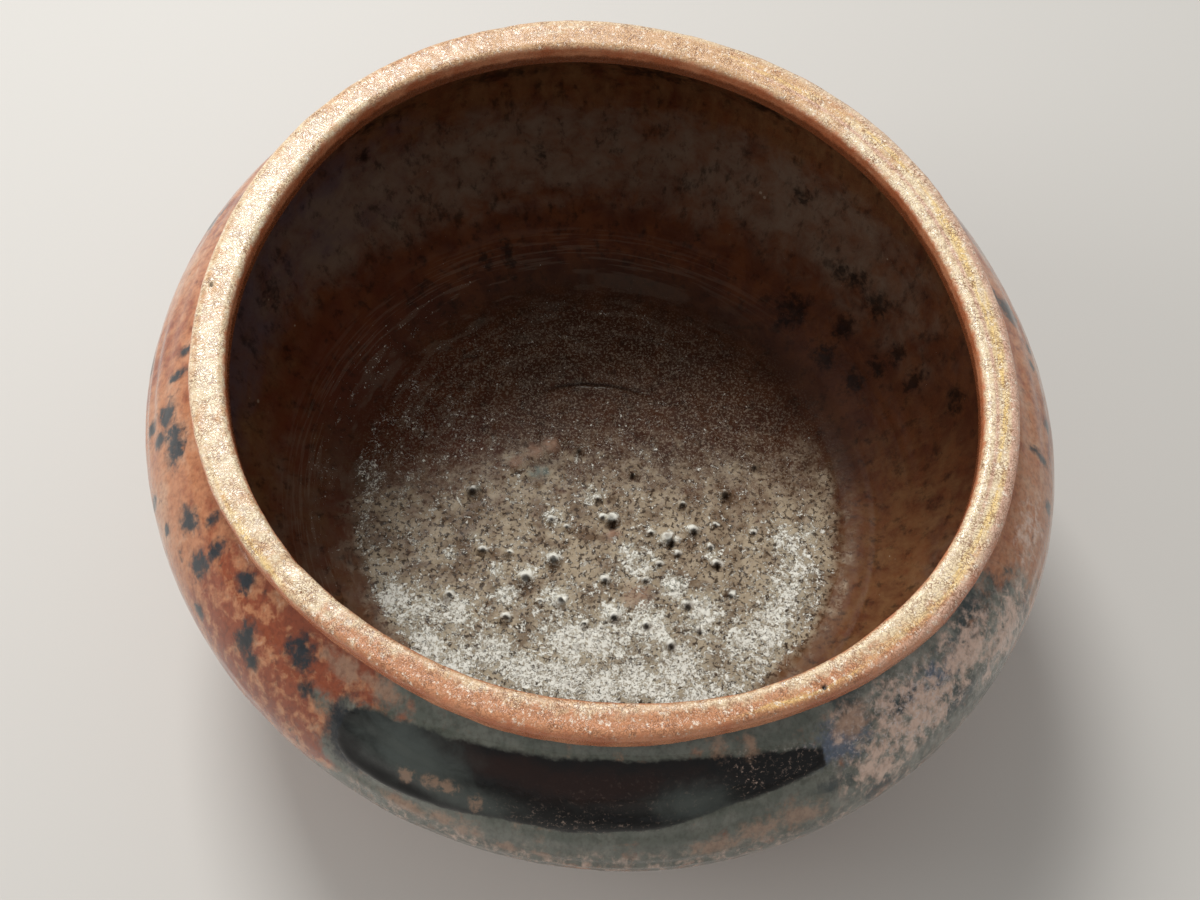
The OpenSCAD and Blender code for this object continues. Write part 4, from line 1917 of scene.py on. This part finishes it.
        # Painted highlight: a pale line on the ridge beside the groove, and a pale cap on the back side of
        # each blister at the front, which the lamp from the back lights.
        cap = 0.4 * bell(r, 26.6, 0.35) * sector(78, 106, 8)
        for x_dot, y_dot, dot in self.blisters:
            hole = np.maximum(hole, 0.9 * ease(np.hypot(x - x_dot, y - y_dot) / dot, 1.0, 0.5))
            rise = bell(x, x_dot, 1.3 * dot + 0.2) * bell(y, y_dot + 0.95 * dot, 0.75 * dot + 0.2)
            cap = np.maximum(cap, ease(y_dot, 6, -4) * rise)
        fields["hole"] = hole * flat
        fields["cap"] = cap * flat

    def _ash(self, shell: Shell, x: Array, y: Array) -> Array:
        """Give how thickly the crystals stand on the floor, which is also painted light: thicker towards
        the front, where the lamp from the back falls.

        Args:
            shell: The wall or the floor.
            x: Places across, in millimetres.
            y: Places along, in millimetres.

        Returns:
            A value for each point.
        """
        r = shell.radius / MM
        ring = bell(r, 46.0, 2.0) * shell.sector(150, 330, 20)
        ash = 0.12 + 0.06 * ease(y, 34, 18) + 0.06 * ease(y, 24, -4) + 0.14 * ease(y, -14, -38)
        ash += 0.12 * ring
        ash += (0.34 + 0.14 * ease(y, 0, -30)) * self._dots(x, y, self.blooms)
        ash += 0.1 * bell(x, 36, 7) * bell(y, -10, 16) + 0.16 * bell(x, 4, 16) * bell(y, -30, 9)
        ash -= 0.14 * bell(r, 42.3, 0.9) * shell.sector(205, 285, 15) + 0.06 * ease(x, 27, 36)
        return ash - 0.12 * bell(r, 34.0, 2.5) * shell.sector(235, 290, 15)

    def _marks(self, shell: Shell) -> Array:
        """Give the height of the marks that fingers and tools left on the floor.

        Args:
            shell: The floor.

        Returns:
            Heights in metres.
        """
        r = shell.radius / MM
        at = np.stack([r * np.cos(shell.turn), r * np.sin(shell.turn)], axis=-1)
        height = (0.25 * bell(r, 26.0, 1.2) - 0.4 * bell(r, 27.5, 0.7)) * shell.sector(68, 122, 8)
        for ridge in np.array(self.ridges, float):
            reach = np.full(r.shape, np.inf)
            for start, end in zip(ridge, ridge[1:]):
                way = end - start
                share = np.clip(((at - start) @ way) / (way @ way), 0.0, 1.0)
                reach = np.minimum(reach, np.linalg.norm(at - start - share[:, None] * way, axis=-1))
            height += 0.4 * bell(reach, 0.0, 1.5)
        return height * MM

    @staticmethod
    def _dots(x: Array, y: Array, dots: tuple[Place, ...]) -> Array:
        """Lay round soft dots on the floor.

        Args:
            x: Places across, in millimetres.
            y: Places along, in millimetres.
            dots: Place and radius of each dot, in millimetres.

        Returns:
            A value for each point.
        """
        value = np.zeros_like(x)
        for dot_x, dot_y, radius in dots:
            value = np.maximum(value, bell(x, dot_x, radius) * bell(y, dot_y, radius))
        return value


@dataclass
class Studio:
    """Floor, lamps, sky and camera.

    Attributes:
        floor_side: Side of the floor, in metres.
        floor_colour: Colour of the floor.
        floor_rough: Roughness of the floor.
        sky: Strength of the even light from all round.
        lamp_aim: Point that the lamps face, in metres.
        camera_at: Place of the camera, in metres.
        aim: Point that the camera looks at, in metres.
        roll: Turn of the camera about its own axis, in degrees.
        lens: Focal length, in millimetres.
        sensor: Width of the sensor, in millimetres.
        nearest: Distance at which the camera starts to see, in metres.
    """

    floor_side: float = 4.0
    floor_colour: Colour = paint("#c9c6c0")
    floor_rough: float = 0.6
    sky: float = 0.44
    lamp_aim: Place = (0.0, 0.0, 0.05)
    camera_at: Place = (0.0, -0.12283, 0.2897)
    aim: Place = (0.00035, -0.02015, 0.078)
    roll: float = 2.826
    lens: float = 45.0
    sensor: float = 36.0
    nearest: float = 0.01

    def build(self) -> None:
        """Build the stage."""
        self._floor()
        self._sky()
        self._lamp("key_softbox", at=(-0.22, 0.50, 0.76), side=0.3, power=6.1)
        self._lamp("side_softbox", at=(-0.75, -0.05, 0.45), side=0.4, power=2.2)
        self._camera()
        bpy.context.scene.view_settings.view_transform = "Standard"

    def _floor(self) -> None:
        """Lay the floor."""
        half = self.floor_side / 2
        corners = [(-half, -half, 0), (half, -half, 0), (half, half, 0), (-half, half, 0)]
        mesh = bpy.data.meshes.new("studio_floor")
        mesh.from_pydata(corners, [], [(0, 1, 2, 3)])
        floor = bpy.data.objects.new("studio_floor", mesh)
        bpy.context.scene.collection.objects.link(floor)
        material = bpy.data.materials.new("studio_floor")
        material.use_nodes = True
        shader = material.node_tree.nodes["Principled BSDF"]
        shader.inputs["Base Color"].default_value = self.floor_colour
        shader.inputs["Roughness"].default_value = self.floor_rough
        mesh.materials.append(material)

    def _sky(self) -> None:
        """Light the scene evenly from all round."""
        world = bpy.data.worlds.new("studio_sky")
        world.use_nodes = True
        background = world.node_tree.nodes["Background"]
        background.inputs["Color"].default_value = (1.0, 1.0, 1.0, 1.0)
        background.inputs["Strength"].default_value = self.sky
        bpy.context.scene.world = world

    def _lamp(self, name: str, at: Place, side: float, power: float) -> None:
        """Set up a soft square lamp.

        Args:
            name: The lamp's name.
            at: Its place.
            side: Its side, in metres.
            power: Its power, in watts.
        """
        data = bpy.data.lights.new(name, "AREA")
        data.size = side
        data.energy = power
        lamp = bpy.data.objects.new(name, data)
        lamp.location = at
        lamp.rotation_euler = (Vector(self.lamp_aim) - Vector(at)).to_track_quat("-Z", "Y").to_euler()
        bpy.context.scene.collection.objects.link(lamp)

    def _camera(self) -> None:
        """Set up the camera."""
        data = bpy.data.cameras.new("camera")
        data.lens = self.lens
        data.sensor_width = self.sensor
        data.clip_start = self.nearest
        camera = bpy.data.objects.new("camera", data)
        look = (Vector(self.aim) - Vector(self.camera_at)).to_track_quat("-Z", "Y").to_matrix()
        turned = look @ Matrix.Rotation(math.radians(self.roll), 3, "Z")
        camera.matrix_world = Matrix.Translation(self.camera_at) @ turned.to_4x4()
        bpy.context.scene.collection.objects.link(camera)
        bpy.context.scene.camera = camera


def main() -> None:
    """Build the studio and the bowl."""
    logging.basicConfig(level=logging.INFO, format="%(name)s: %(message)s")
    sizes = BowlSizes.from_frame()
    wheel = Wheel(HandThrown(sizes.lip_in, sizes.lip_out))
    effects = Effects()
    Studio().build()
    ClayMembers(sizes, wheel, BareClay(effects)).build()
    Lip(sizes, wheel, LipGlaze(effects)).build()
    OuterCoat(sizes, wheel, OuterGlaze(effects)).build()
    Well(sizes, wheel, WellGlaze(effects)).build()


if __name__ == "__main__":
    main()
